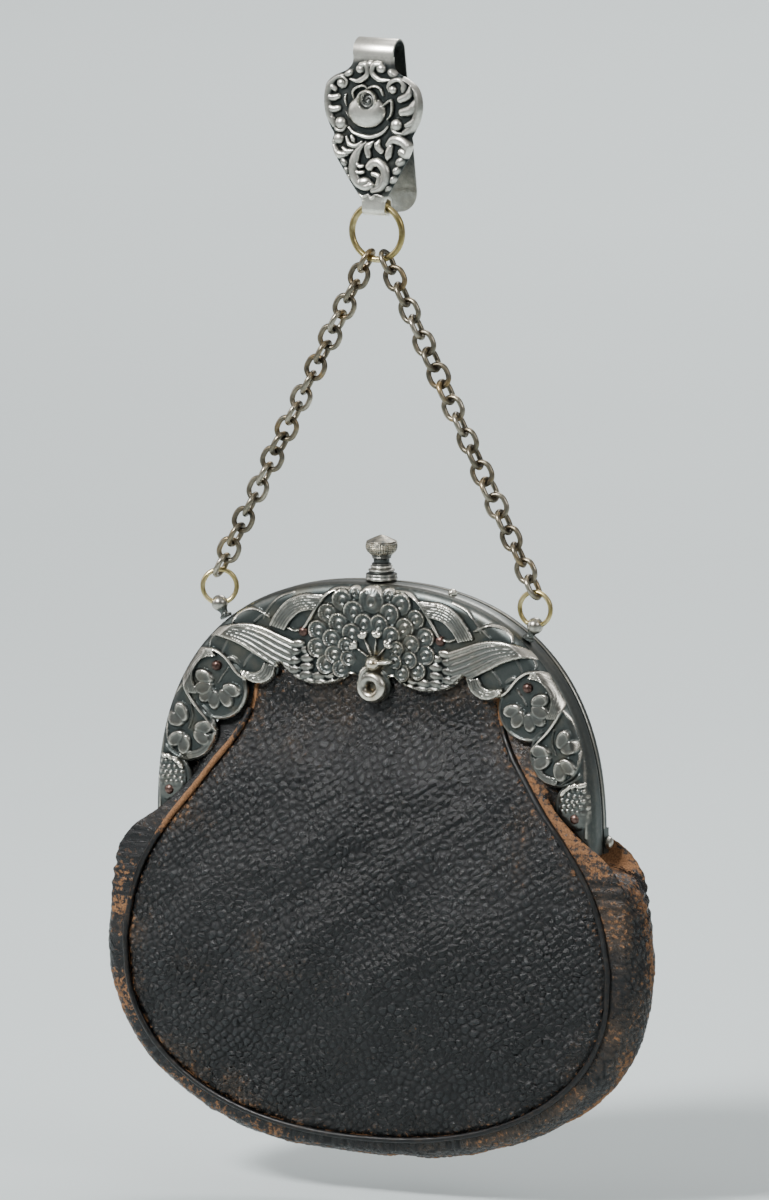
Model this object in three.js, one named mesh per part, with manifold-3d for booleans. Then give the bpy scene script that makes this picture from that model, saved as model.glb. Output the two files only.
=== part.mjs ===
// Chatelaine handbag: a leather pouch on a cast silver frame, hung by two chains from a belt clip.
// Millimetres, +Z up, front towards -Y. The origin is under the bend of the belt clip.
import * as THREE from "three";
import { mergeVertices } from "three/addons/utils/BufferGeometryUtils.js";
import Module from "manifold-3d";

const wasm = await Module();
wasm.setup();

// Heights in the bag are taken from the hinge line of its frame.
const BAG_OFFSET = new THREE.Vector3(0, 1.0, -193.9);
const HANG_PLANE = -2.1;

const FRAME = { halfWidth: 59.6, height: 61, power: 2.4, legDrop: 2.6, wall: 1.3, chamfer: 1.6 };
const PLATE = { front: -4.8, back: -3.6, rise: 0.9 };
const PARTING = { front: 1.3, back: 1.7 };
const LEATHER = 1.2;
const WELT_RADIUS = 0.95;
const SEAM_GAP = 1.4;
const LINK = { count: 21, wire: 0.675, ring: 2.38, overlap: 0.07 };
const BELT_RING = { radius: 6.75, wire: 0.8, height: 147.1 };
const LUG_RING = { radius: 4.15, wire: 0.55 };
const LUG = { x: 42.8, z: 53, ball: 2.05, lean: 0.5, stem: 4.2 };
const CLIP = { sheet: 0.8, bend: 2.7, strip: 10.9, tab: 6.1, tongueOut: 10.2, tongueEnd: -43.2 };

const SILVER = { color: 0x8d8f8c, roughness: 0.42, metalness: 1 };
const BRASS = { color: 0xb59a5c, roughness: 0.36, metalness: 1 };
const COPPER = { color: 0x7d5647, roughness: 0.5, metalness: 1 };
const HIDE = { color: 0x24272b, roughness: 0.55, metalness: 0 };

const scene = new THREE.Group();
const bag = new THREE.Group();
bag.position.copy(BAG_OFFSET);
scene.add(bag);

function addPart(parent, name, geometry, look) {
  geometry.computeVertexNormals();
  const mesh = new THREE.Mesh(geometry, new THREE.MeshStandardMaterial(look));
  mesh.name = name;
  parent.add(mesh);
  return mesh;
}

// A three.js geometry as a closed solid, and back again.
function toSolid(geometry) {
  const bare = geometry.clone();
  bare.deleteAttribute("normal");
  bare.deleteAttribute("uv");
  const merged = mergeVertices(bare, 1e-4);
  return new wasm.Manifold(new wasm.Mesh({
    numProp: 3,
    vertProperties: new Float32Array(merged.attributes.position.array),
    triVerts: new Uint32Array(merged.index.array),
  }));
}

function toGeometry(solid) {
  const mesh = solid.asOriginal().simplify(0.004).getMesh();
  const geometry = new THREE.BufferGeometry();
  geometry.setAttribute("position", new THREE.BufferAttribute(mesh.vertProperties, 3));
  geometry.setIndex(new THREE.BufferAttribute(mesh.triVerts, 1));
  return geometry;
}

function joined(geometries) {
  return wasm.Manifold.union(geometries.map(toSolid));
}

// A flat outline in X and Z with its thickness between two values of Y.
function slab(points, yFront, yBack) {
  const shape = new THREE.Shape(points.map(([x, z]) => new THREE.Vector2(x, z)));
  const geometry = new THREE.ExtrudeGeometry(shape, { depth: yBack - yFront, bevelEnabled: false });
  return geometry.rotateX(Math.PI / 2).translate(0, yBack, 0);
}

// A side profile in Y and Z drawn out along X.
function profile(points, width) {
  const shape = new THREE.Shape(points.map(([y, z]) => new THREE.Vector2(y, z)));
  const geometry = new THREE.ExtrudeGeometry(shape, { depth: width, bevelEnabled: false });
  return geometry.rotateX(Math.PI / 2).rotateZ(Math.PI / 2).translate(-width / 2, 0, 0);
}

function ellipse(x, z, rx, rz, sides, turn = 0) {
  return Array.from({ length: sides }, (_, i) => {
    const a = turn + (i / sides) * 2 * Math.PI;
    return [x + rx * Math.cos(a), z + rz * Math.sin(a)];
  });
}

// Outline points on a smooth curve through a few given ones.
function smooth(points, steps) {
  const curve = new THREE.SplineCurve(points.map(([x, z]) => new THREE.Vector2(x, z)));
  return curve.getPoints(steps).map((p) => [p.x, p.y]);
}

// A band of even width along a smooth curve.
function band(points, width, steps) {
  const line = smooth(points, steps);
  const sides = [1, -1].map((side) => line.map(([x, z], i) => {
    const [ax, az] = line[Math.max(i - 1, 0)];
    const [bx, bz] = line[Math.min(i + 1, line.length - 1)];
    const length = Math.hypot(bx - ax, bz - az);
    const reach = (side * width) / length / 2;
    return [x + reach * (az - bz), z + reach * (bx - ax)];
  }));
  return [...sides[0], ...sides[1].reverse()];
}

function mirrored(points) {
  return points.map(([x, z]) => [-x, z]).reverse();
}

// Raised work: a flat-topped boss with sloping sides.
function boss(x, z, rx, rz, yFront, yRoot, sides = 6, turn = 0) {
  const geometry = new THREE.CylinderGeometry(1, 0.62, 1, sides);
  geometry.rotateY(turn).scale(rx, yRoot - yFront, rz);
  return geometry.translate(x, (yFront + yRoot) / 2, z);
}

function lathe(rows, sides) {
  const points = rows.map(([r, z]) => new THREE.Vector2(r, z));
  return new THREE.LatheGeometry(points, sides).rotateX(Math.PI / 2);
}

// A smooth value from a table whose first column falls from row to row.
function lookUp(rows, key, column) {
  const last = rows.length - 1;
  if (key >= rows[0][0]) return rows[0][column];
  if (key <= rows[last][0]) return rows[last][column];
  const i = rows.findIndex((row, n) => n < last && key <= row[0] && key >= rows[n + 1][0]);
  const slope = (n) => {
    const a = rows[Math.max(n - 1, 0)];
    const b = rows[Math.min(n + 1, last)];
    return (b[column] - a[column]) / (b[0] - a[0]);
  };
  const span = rows[i + 1][0] - rows[i][0];
  const t = (key - rows[i][0]) / span;
  const rise = rows[i + 1][column] - rows[i][column];
  const blend = t * t * (3 - 2 * t);
  return rows[i][column] + blend * rise
    + span * t * (1 - t) * ((1 - t) * slope(i) - t * slope(i + 1));
}

// Frame: an arched plate with a rim round its outer edge, front and back.
function archOutline(inset, steps) {
  const a = FRAME.halfWidth - inset;
  const h = FRAME.height - inset;
  const power = 2 / FRAME.power;
  const points = Array.from({ length: steps + 1 }, (_, i) => {
    const t = (i / steps) * Math.PI;
    return [a * Math.sign(Math.cos(t)) * Math.abs(Math.cos(t)) ** power, h * Math.sin(t) ** power];
  });
  return [[a, -FRAME.legDrop], ...points, [-a, -FRAME.legDrop]];
}

// The solid inside the outer edge, with its front edge sloped off.
function archBlock(yFace, yShoulder, yParting, steps) {
  const rings = [[FRAME.chamfer, yFace], [0, yShoulder], [0, yParting]];
  const loops = rings.map(([inset, y]) => archOutline(inset, steps).map(([x, z]) => [x, y, z]));
  const n = loops[0].length;
  const index = [];
  for (let r = 0; r + 1 < loops.length; r += 1) {
    for (let i = 0; i < n; i += 1) {
      const a = r * n + i;
      const b = r * n + ((i + 1) % n);
      index.push(a, b, b + n, a, b + n, a + n);
    }
  }
  for (let i = 1; i + 1 < n; i += 1) {
    index.push(0, i + 1, i);
    index.push(2 * n, 2 * n + i, 2 * n + i + 1);
  }
  const geometry = new THREE.BufferGeometry();
  geometry.setAttribute("position", new THREE.Float32BufferAttribute(loops.flat(2), 3));
  geometry.setIndex(yParting > yFace ? index.reverse() : index);
  return geometry;
}

function rimOutline(steps) {
  return [...archOutline(0, steps), ...archOutline(FRAME.wall, steps).reverse()];
}

// The plate between the outer edge and a rounded inner edge, above a level cut.
function plateOutline(halfWidth, height, power, foot, steps) {
  const inner = Array.from({ length: steps + 1 }, (_, i) => {
    const t = (i / steps) * Math.PI;
    const x = halfWidth * Math.sign(Math.cos(t)) * Math.abs(Math.cos(t)) ** (2 / power);
    return [x, foot + (height - foot) * Math.sin(t) ** (2 / power)];
  });
  const outer = archOutline(0.02, steps).slice(1, -1);
  outer[0][1] = foot;
  outer[outer.length - 1][1] = foot;
  return [...outer, ...inner.reverse()];
}

// Lobes on the lower edge of the front plate, right side.
const LOBES = [
  // x, z, radius
  [31.0, 39.3, 5.7],
  [42.0, 32.2, 7.8],
  [50.2, 21.6, 7.8],
  [55.0, 9.4, 5.7],
];
const WING = { x: 14.8, z: 42.4, rx: 10.6, rz: 7.8 };
const BREAST = { z: 35.6, radius: 3.9, hollow: 1.5 };
const HEAD = { z: 41.0, radius: 1.6 };

// Eyes of the tail fan, measured from the head.
const EYES = [
  // reach, turn, radius
  [16.2, 0, 2.8],
  [16.6, 25, 2.1],
  [17.0, 44, 1.85],
  [17.0, 61, 1.8],
  [13.6, 22, 2.0],
  [13.9, 43, 1.7],
  [13.9, 78, 1.85],
  [10.9, 11, 1.85],
  [11.4, 62, 1.75],
  [12.3, 97, 1.7],
  [8.6, 36, 1.7],
];
// Clover leaves, right side.
const LEAVES = [
  // x, z, rx, rz
  [45.6, 33.4, 2.2, 1.8],
  [44.6, 29.4, 1.9, 2.1],
  [40.2, 31.2, 2.0, 1.9],
  [39.3, 35.0, 1.9, 1.7],
  [52.8, 25.2, 2.2, 1.8],
  [46.8, 21.6, 2.1, 1.9],
  [52.0, 18.8, 2.0, 2.1],
];
// Ribbons, streamers and striped leaves, right side.
const RIDGES = [
  // width, rise, points
  [1.5, 0.7, [[22.6, 37.8], [30.0, 41.8], [36.5, 44.5], [43.4, 46.7]]],
  [1.5, 0.8, [[23.2, 40.6], [30.0, 44.3], [36.8, 46.9], [41.6, 48.3]]],
  [1.5, 0.7, [[23.2, 43.4], [29.8, 46.8], [35.8, 49.0]]],
  [2.4, 0.7, [[15.0, 54.6], [21.6, 54.0], [26.2, 49.4]]],
  [1.0, 0.9, [[50.4, 37.4], [45.9, 41.5], [40.5, 40.9], [37.2, 37.0], [31.5, 34.8], [27.2, 37.8]]],
  [1.4, 0.8, [[49.6, 37.2], [50.4, 32.2], [47.8, 27.6], [43.4, 24.6], [42.4, 21.4], [47.0, 15.4]]],
];

function frameFront() {
  const { front, back } = PLATE;
  const plates = [slab(plateOutline(54.5, 43, 2.2, 3.4, 22), front, back)];
  for (const [x, z, radius] of LOBES) {
    plates.push(slab(ellipse(x, z, radius, radius, 14), front, back));
    plates.push(slab(mirrored(ellipse(x, z, radius, radius, 14)), front, back));
  }
  for (const side of [1, -1]) {
    plates.push(slab(ellipse(side * WING.x, WING.z, WING.rx, WING.rz, 16), front, back));
  }
  plates.push(slab(ellipse(0, BREAST.z, BREAST.radius, BREAST.radius, 12), front, back));
  plates.push(slab([[-9, 38], [9, 38], [9, 46], [-9, 46]], front, back));
  const rim = slab(rimOutline(22), front, PARTING.front);
  const block = toSolid(archBlock(front, front + FRAME.chamfer, PARTING.front, 22));
  const body = joined([...plates, rim]).intersect(block);

  const top = front - PLATE.rise;
  const root = front + 0.7;
  const relief = [];
  for (const [reach, turn, radius] of EYES) {
    const a = THREE.MathUtils.degToRad(turn);
    for (const side of turn === 0 ? [1] : [1, -1]) {
      const x = side * reach * Math.sin(a);
      relief.push(boss(x, HEAD.z + reach * Math.cos(a), radius, radius, top, root));
    }
  }
  for (const [x, z, rx, rz] of LEAVES) {
    relief.push(boss(x, z, rx, rz, top, root, 5), boss(-x, z, rx, rz, top, root, 5));
  }
  for (const [width, rise, points] of RIDGES) {
    const outline = band(points, width, points.length);
    relief.push(slab(outline, front - rise, root), slab(mirrored(outline), front - rise, root));
  }
  for (const side of [1, -1]) {
    relief.push(boss(side * 54.5, 11.6, 3.4, 3.4, top - 0.4, root, 8));
    relief.push(boss(side * 16.4, 37.4, 3.6, 1.5, front - 0.6, root, 6));
  }
  const neck = ellipse(0, BREAST.z, BREAST.radius - 0.3, BREAST.radius - 0.3, 10);
  const beak = [[1.0, HEAD.z + 0.7], [1.0, HEAD.z - 0.5], [4.6, HEAD.z + 0.4]];
  relief.push(slab(neck, front - 1.2, root), slab(beak, front - 1.2, root));
  relief.push(boss(0, HEAD.z, HEAD.radius, HEAD.radius, front - 1.9, root, 8));
  const hollow = slab(ellipse(-0.4, BREAST.z + 0.9, 1.1, BREAST.hollow, 8), front - 2, front - 0.4);
  return joined(relief).add(body).subtract(toSolid(hollow));
}

function frameBack() {
  const front = -PLATE.front;
  const plate = slab(plateOutline(53.6, 39, 2.3, 3.4, 16), -PLATE.back, front);
  const rim = slab(rimOutline(16), PARTING.back, front);
  const block = toSolid(archBlock(front, front - FRAME.chamfer, PARTING.back, 16));
  return joined([plate, rim]).intersect(block);
}

// Hinge at each foot: an ear of the front half inside the back rim, and a headed pin through both.
const HINGE = { y: 3.25, shank: 0.7, bore: 1.0, earIn: 56.5, earOut: 57.9 };

function hingeEar(side) {
  const { earIn, earOut } = HINGE;
  const cut = FRAME.legDrop;
  const corners = (outer) => [[earIn, -cut], [outer, -cut], [outer, cut], [earIn, cut]];
  const plan = (outer) => corners(outer).map(([x, z]) => [side * x, z]);
  const root = slab(plan(FRAME.halfWidth - 0.4), -1.4, PARTING.front - 0.1);
  return [root, slab(plan(earOut), -1.4, PARTING.back + 3.0)];
}

function alongX(geometry, x, y, z) {
  return geometry.rotateZ(Math.PI / 2).translate(x, y, z);
}

const bores = joined([1, -1].map((side) =>
  alongX(new THREE.CylinderGeometry(HINGE.bore, HINGE.bore, 8, 8), side * 58, HINGE.y, 0)));
const ears = joined([...hingeEar(1), ...hingeEar(-1)]);
addPart(bag, "frame_front", toGeometry(frameFront().add(ears).subtract(bores)), SILVER);
addPart(bag, "frame_back", toGeometry(frameBack().subtract(bores)), SILVER);

const PIN = [
  // radius, reach from the mid-plane
  [0, 55.2],
  [1.4, 55.2],
  [1.4, 56.1],
  [HINGE.shank, 56.1],
  [HINGE.shank, 59.95],
  [1.6, 59.95],
  [1.25, 60.8],
  [0, 61.1],
];
for (const [name, side] of [["hinge_pin_right", 1], ["hinge_pin_left", -1]]) {
  const pin = addPart(bag, name, lathe(PIN, 6), SILVER);
  pin.position.set(0, HINGE.y, 0);
  pin.rotation.y = (side * Math.PI) / 2;
}

// Copper rivets on the front plate and the head of the catch on the top edge.
const RIVET = [[0, 0], [1.4, 0], [1.1, 0.7], [0, 0.95]];
const RIVETS = [
  // name, x, z
  ["frame_rivet_top", 18.6, 48.0],
  ["frame_rivet_side", 42.2, 38.0],
  ["frame_rivet_foot", 55.0, 6.6],
];
for (const [name, x, z] of RIVETS) {
  for (const [suffix, side] of [["right", 1], ["left", -1]]) {
    const rivet = addPart(bag, `${name}_${suffix}`, lathe(RIVET, 6), COPPER);
    rivet.position.set(side * x, PLATE.front - 0.25, z);
    rivet.rotation.x = Math.PI / 2;
  }
}

// The point on the outer edge of the frame at a given x, and the slope of the edge there.
function archHeight(x) {
  return FRAME.height * (1 - (Math.abs(x) / FRAME.halfWidth) ** FRAME.power) ** (1 / FRAME.power);
}

const catchRivet = addPart(bag, "catch_rivet", lathe([[0, 0], [1.1, 0], [0.8, 0.6], [0, 0.8]], 8), SILVER);
catchRivet.position.set(20, -1.0, archHeight(20) + 0.5);
catchRivet.rotation.y = 0.2;

// Clasp: a stepped collar on the top edge and a knurled knob that is pressed down into it.
const COLLAR = [
  // radius, height over the frame
  [2.25, 0.3],
  [3.85, 0.3],
  [3.75, 1.8],
  [3.25, 2.1],
  [3.2, 3.0],
  [2.7, 3.3],
  [2.6, 4.1],
  [2.25, 4.3],
  [2.25, 0.3],
];
const KNOB = [
  // radius, height over the frame
  [0, 1.6],
  [1.95, 1.6],
  [1.95, 5.5],
  [2.25, 5.8],
  [2.75, 6.7],
  [3.75, 7.6],
  [3.98, 8.5],
  [3.8, 9.4],
  [3.55, 9.5],
  [3.7, 9.75],
  [2.2, 10.5],
  [0, 11.3],
];
const CLASP_Y = 0.4;
addPart(bag, "knob_collar", lathe(COLLAR, 12), SILVER).position.set(0, CLASP_Y, FRAME.height);
addPart(bag, "clasp_knob", lathe(KNOB, 12), SILVER).position.set(0, CLASP_Y, FRAME.height);

// Rings: the belt ring in the clip's tab, and one ring through the ball of each lug.
function wireRing(radius, wire, around, sides) {
  return new THREE.TorusGeometry(radius, wire, sides, around).rotateX(Math.PI / 2);
}

addPart(bag, "belt_ring", wireRing(BELT_RING.radius, BELT_RING.wire, 16, 6), BRASS)
  .position.set(0, HANG_PLANE, BELT_RING.height);

const LUG_PROFILE = [
  // radius, distance along the stem
  [0, 0.55],
  [1.5, 0.55],
  [1.5, 1.1],
  [1.05, 1.3],
  [1.05, 2.4],
  [1.85, 3.2],
  [LUG.ball, LUG.stem],
  [1.75, 5.3],
  [0, 6.25],
];
for (const [name, side, turn] of [["right", 1, 0], ["left", -1, 0.45]]) {
  const ringCentre = [side * LUG.x, HANG_PLANE, LUG.z + LUG_RING.radius];
  const ring = wireRing(LUG_RING.radius, LUG_RING.wire, 14, 5).rotateZ(turn);
  const eye = wireRing(LUG_RING.radius, LUG_RING.wire + 0.3, 14, 6).rotateZ(turn);
  const stem = lathe(LUG_PROFILE, 8).rotateY(side * LUG.lean);
  stem.translate(
    side * (LUG.x - LUG.stem * Math.sin(LUG.lean)), HANG_PLANE, LUG.z - LUG.stem * Math.cos(LUG.lean));
  const base = toSolid(stem).subtract(toSolid(eye.translate(...ringCentre)));
  addPart(bag, `chain_lug_${name}`, toGeometry(base), SILVER);
  addPart(bag, `lug_ring_${name}`, ring, BRASS).position.set(...ringCentre);
}

// Chains: oval links, each turned a quarter round from the last, joined where they bear on each other.
function link(halfLength) {
  const geometry = new THREE.TorusGeometry(LINK.ring, -LINK.wire, 5, 10);
  const stretch = halfLength - LINK.ring * Math.sin((72 * Math.PI) / 180);
  const p = geometry.attributes.position;
  for (let i = 0; i < p.count; i += 1) {
    const y = p.getY(i);
    if (Math.abs(y) > 1e-6) p.setY(i, y + Math.sign(y) * stretch);
  }
  return geometry;
}

function chain(side) {
  const lean = 0.37;
  const { radius, height } = BELT_RING;
  const foot = height - radius * Math.cos(lean);
  const start = new THREE.Vector3(side * radius * Math.sin(lean), HANG_PLANE, foot);
  const end = new THREE.Vector3(side * LUG.x, HANG_PLANE, LUG.z + 2 * LUG_RING.radius);
  const span = end.clone().sub(start);
  const spare = BELT_RING.wire + LUG_RING.wire + 0.75;
  const pitch = (span.length() + spare - LINK.overlap) / LINK.count;
  const halfLength = (pitch - LINK.overlap) / 2 + LINK.wire;
  const along = span.clone().normalize();
  const first = (pitch - LINK.overlap) / 2 - BELT_RING.wire - 0.3;
  const across = new THREE.Vector3(0, 1, 0);
  const links = Array.from({ length: LINK.count }, (_, i) => {
    const waver = 0.16 * Math.sin(2.3 * i + side);
    const face = across.clone().applyAxisAngle(along, i * (Math.PI / 2) + (i > 0 && i < 20 ? waver : 0));
    const basis = new THREE.Matrix4().makeBasis(face, along, face.clone().cross(along));
    basis.setPosition(start.clone().addScaledVector(along, first + i * pitch));
    return link(halfLength).applyMatrix4(basis);
  });
  return toGeometry(joined(links));
}

addPart(bag, "chain_right", chain(1), SILVER);
addPart(bag, "chain_left", chain(-1), SILVER);

// Belt clip: a strip bent over at the top with a tongue behind, a lobed plate in front and a ring tab.
function clipStrip() {
  const { sheet, bend, strip, tongueOut, tongueEnd } = CLIP;
  const arc = (radius) => Array.from({ length: 9 }, (_, i) => {
    const a = Math.PI - (i / 8) * Math.PI;
    return [radius * Math.cos(a), -bend + radius * Math.sin(a)];
  });
  const flare = (y) => [[y, tongueEnd + 6], [y + 1.4, tongueEnd]];
  const outer = [[-bend - sheet, -12], ...arc(bend + sheet), ...flare(tongueOut)];
  const inner = [[-bend, -12], ...arc(bend), ...flare(tongueOut - sheet)];
  const half = strip / 2;
  const end = Array.from({ length: 9 }, (_, i) => {
    const a = Math.PI + (i / 8) * Math.PI;
    return [half * Math.cos(a), tongueEnd + half + half * Math.sin(a)];
  });
  const round = slab([...end, [half, 2], [-half, 2]], -6, 14);
  return toSolid(profile([...outer, ...inner.reverse()], strip)).intersect(toSolid(round));
}

function clipTab() {
  const { bend, sheet, tab } = CLIP;
  const centre = HANG_PLANE + BAG_OFFSET.y;
  const top = BELT_RING.height + BELT_RING.radius + BAG_OFFSET.z;
  const half = 1.5;
  const foot = top - BELT_RING.wire - 1.1;
  const bow = (reach) => Array.from({ length: 7 }, (_, i) => {
    const a = Math.PI + (i / 6) * Math.PI;
    return [centre + (half + reach) * Math.cos(a), foot + 1.1 + (1.1 + reach) * Math.sin(a)];
  });
  const roof = top + BELT_RING.wire + 0.35;
  const hook = [centre + half + sheet, roof + sheet];
  const outer = [[-bend - 0.1, roof + 1.6], ...bow(sheet), hook, [-bend + 0.4, roof + 1.6]];
  const slot = [...bow(0), [centre + half, roof], [centre - half, roof]];
  return toSolid(profile(outer, tab)).subtract(toSolid(profile(slot, tab + 2)));
}

// Half outline of the plate from the top down.
const CLIP_PLATE = [
  // half width, z
  [5.4, -3.4],
  [6.0, -6.2],
  [9.0, -8.4],
  [12.3, -11.4],
  [13.2, -14.8],
  [12.6, -18.6],
  [11.3, -22.4],
  [10.6, -25.4],
  [9.2, -29.6],
  [6.8, -33.4],
  [4.2, -37.6],
  [3.0, -39.4],
];
// Bosses of the rose, leaves and scrolls on the plate.
const CLIP_RELIEF = [
  // x, z, rx, rz, rise
  [-0.9, -14.7, 6.3, 6.5, 0.7],
  [-0.9, -14.7, 3.9, 4.0, 1.2],
  [-0.9, -14.7, 2.0, 2.1, 1.7],
  [-3.4, -6.7, 1.7, 1.7, 0.7],
  [1.8, -6.7, 1.7, 1.7, 0.7],
  [-9.0, -10.4, 2.2, 1.4, 0.7],
  [-11.2, -14.4, 1.6, 2.0, 0.6],
  [-10.0, -19.6, 1.9, 1.8, 0.8],
  [8.4, -11.0, 2.2, 1.5, 0.7],
  [10.4, -15.4, 1.7, 2.2, 0.6],
  [8.8, -20.4, 2.0, 1.8, 0.8],
  [-1.4, -22.6, 5.4, 1.0, 0.8],
  [7.0, -25.6, 2.0, 1.7, 0.6],
  [-3.8, -28.0, 1.5, 3.2, 0.8],
  [1.6, -31.6, 2.6, 2.6, 0.8],
  [0.2, -35.6, 2.4, 1.2, 0.7],
];

function beltClip() {
  const back = -CLIP.bend;
  const front = back - CLIP.sheet;
  const half = smooth(CLIP_PLATE, 15);
  const plate = slab([...half, ...mirrored(half)].reverse(), front, back);
  const relief = CLIP_RELIEF.map(([x, z, rx, rz, rise]) =>
    boss(x, z, rx, rz, front - rise, front + 0.5, rx > 3 ? 9 : 5));
  return joined([plate, ...relief]).add(clipStrip()).add(clipTab());
}

addPart(scene, "belt_clip", toGeometry(beltClip()), SILVER);

// Pouch: panels front and back, a gusset round the sides and bottom, and a welt in each seam.
const POUCH = [
  // z, half width, half depth at the seam, crown of the panel
  [42, 32.6, 2.75, 0],
  [34, 33.0, 2.75, 0],
  [28, 34.1, 2.8, 0],
  [21, 37.5, 4.4, 0.9],
  [15, 42.0, 6.2, 1.8],
  [8, 47.2, 7.6, 2.6],
  [0, 53.7, 8.4, 3.4],
  [-8, 59.0, 8.6, 4.0],
  [-14, 61.9, 8.6, 4.5],
  [-22, 64.2, 8.6, 5.0],
  [-34, 65.3, 8.4, 5.2],
  [-55, 59.0, 7.6, 4.2],
  [-70, 38.0, 6.6, 2.4],
  [-76, 0, 6.0, 1.6],
];
const BELLY = { z: -34, halfWidth: 65.3, depth: 42, power: 2.2 };
// How far the gusset stands out from the seam: beside it, half way round and in the middle.
const GUSSET = [
  // z, lip, half, mid
  [34, 1.9, 3.2, 3.4],
  [28, 2.0, 4.0, 4.2],
  [21, 2.2, 4.0, 4.2],
  [15, 2.0, 3.0, 3.4],
  [8, 1.75, 0.4, 1.4],
  [2, 1.4, -1.4, -2.0],
  [-3.6, 2.4, -1.6, -2.8],
  [-8.2, 5.0, 7.4, 7.4],
  [-13, 5.0, 7.9, 8.8],
  [-34, 4.3, 6.7, 7.6],
  [-60, 3.5, 5.4, 6.2],
  [-76, 2.9, 4.4, 5.0],
];
const SIDE_STATIONS = [42, 34, 27.5, 21, 15, 8, 2, -3.6, -8.2, -13, -22, -34];
const BELLY_STEPS = 7;

// The seam from the right top, down and round the bottom to the left top.
function seamLine() {
  const side = SIDE_STATIONS.map((z) => [lookUp(POUCH, z, 1), z]);
  for (let i = 1; i <= BELLY_STEPS; i += 1) {
    const t = (i / BELLY_STEPS) * (Math.PI / 2);
    const p = 2 / BELLY.power;
    const x = i === BELLY_STEPS ? 0 : BELLY.halfWidth * Math.cos(t) ** p;
    side.push([x, BELLY.z - BELLY.depth * Math.sin(t) ** p]);
  }
  return [...side, ...side.slice(0, -1).reverse().map(([x, z]) => [-x, z])];
}

// Unit direction across the seam, away from the panel.
function outward(line, i) {
  const [ax, az] = line[Math.max(i - 1, 0)];
  const [bx, bz] = line[Math.min(i + 1, line.length - 1)];
  const length = Math.hypot(bx - ax, bz - az);
  return [(az - bz) / length, (bx - ax) / length];
}

// A sheet of even thickness about a grid of points; wrap joins the last column to the first.
function sheet(grid, thickness, wrap) {
  const rows = grid.length;
  const columns = grid[0].length;
  const at = (r, c) => grid[Math.min(Math.max(r, 0), rows - 1)][
    wrap ? (c + columns) % columns : Math.min(Math.max(c, 0), columns - 1)];
  const normalAt = (r, c) => {
    const down = at(r + 1, c).clone().sub(at(r - 1, c));
    const over = at(r, c + 1).clone().sub(at(r, c - 1));
    const normal = down.cross(over);
    if (normal.length() < 1e-9) normal.set(0, Math.sign(normalAt(r - 1, c).y), 0);
    return normal.normalize();
  };
  const sides = [1, -1].map((side) => grid.map((row, r) => row.map((point, c) =>
    point.clone().addScaledVector(normalAt(r, c), (side * thickness) / 2))));
  const points = sides.flat(2);
  const id = (side, r, c) => (side * rows + r) * columns + (c % columns);
  const index = [];
  const quad = (a, b, c, d) => index.push(a, b, c, a, c, d);
  const lastColumn = wrap ? columns : columns - 1;
  for (let c = 0; c < lastColumn; c += 1) {
    for (let r = 0; r + 1 < rows; r += 1) {
      quad(id(0, r, c), id(0, r + 1, c), id(0, r + 1, c + 1), id(0, r, c + 1));
      quad(id(1, r, c), id(1, r, c + 1), id(1, r + 1, c + 1), id(1, r + 1, c));
    }
    quad(id(0, 0, c), id(0, 0, c + 1), id(1, 0, c + 1), id(1, 0, c));
    const end = rows - 1;
    if (!wrap) quad(id(0, end, c + 1), id(0, end, c), id(1, end, c), id(1, end, c + 1));
  }
  if (!wrap) {
    for (let r = 0; r + 1 < rows; r += 1) {
      quad(id(0, r + 1, 0), id(0, r, 0), id(1, r, 0), id(1, r + 1, 0));
      const e = columns - 1;
      quad(id(0, r, e), id(0, r + 1, e), id(1, r + 1, e), id(1, r, e));
    }
  }
  return closedSurface(points, index);
}

// Merges points that meet, drops empty triangles and turns the faces outwards.
function closedSurface(points, index) {
  const raw = new THREE.BufferGeometry().setFromPoints(points);
  raw.setIndex(index);
  const geometry = mergeVertices(raw, 1e-4);
  const old = Array.from(geometry.index.array);
  const p = geometry.attributes.position;
  const corner = (i) => new THREE.Vector3().fromBufferAttribute(p, i);
  let kept = [];
  let volume = 0;
  for (let i = 0; i < old.length; i += 3) {
    const [a, b, c] = old.slice(i, i + 3);
    if (a === b || b === c || c === a) continue;
    kept.push(a, b, c);
    volume += corner(a).dot(corner(b).cross(corner(c)));
  }
  if (volume < 0) kept = kept.reverse();
  geometry.setIndex(kept);
  return geometry;
}

const seam = seamLine();

function panel(side, scales) {
  const halfTop = lookUp(POUCH, 42, 1);
  const rim = seam.map(([x, z], i) => {
    const [nx, nz] = outward(seam, i);
    return [x - SEAM_GAP * nx, z - SEAM_GAP * nz];
  });
  for (const f of [-0.5, 0, 0.5]) rim.push([f * halfTop * 1.2, 43.5 - 2 * f * f]);
  const centre = [0, -18];
  const grid = [...scales, 0].map((s) => rim.map(([x, z]) => {
    const px = centre[0] + s * (x - centre[0]);
    const pz = centre[1] + s * (z - centre[1]);
    const depth = lookUp(POUCH, pz, 2) + lookUp(POUCH, pz, 3) * (1 - s * s);
    return new THREE.Vector3(px, side * depth, pz);
  }));
  return sheet(grid, LEATHER, true);
}

addPart(bag, "front_panel", panel(-1, [1, 0.9, 0.76, 0.56, 0.3]), HIDE);
addPart(bag, "back_panel", panel(1, [1, 0.9, 0.76, 0.5]), HIDE);

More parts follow.
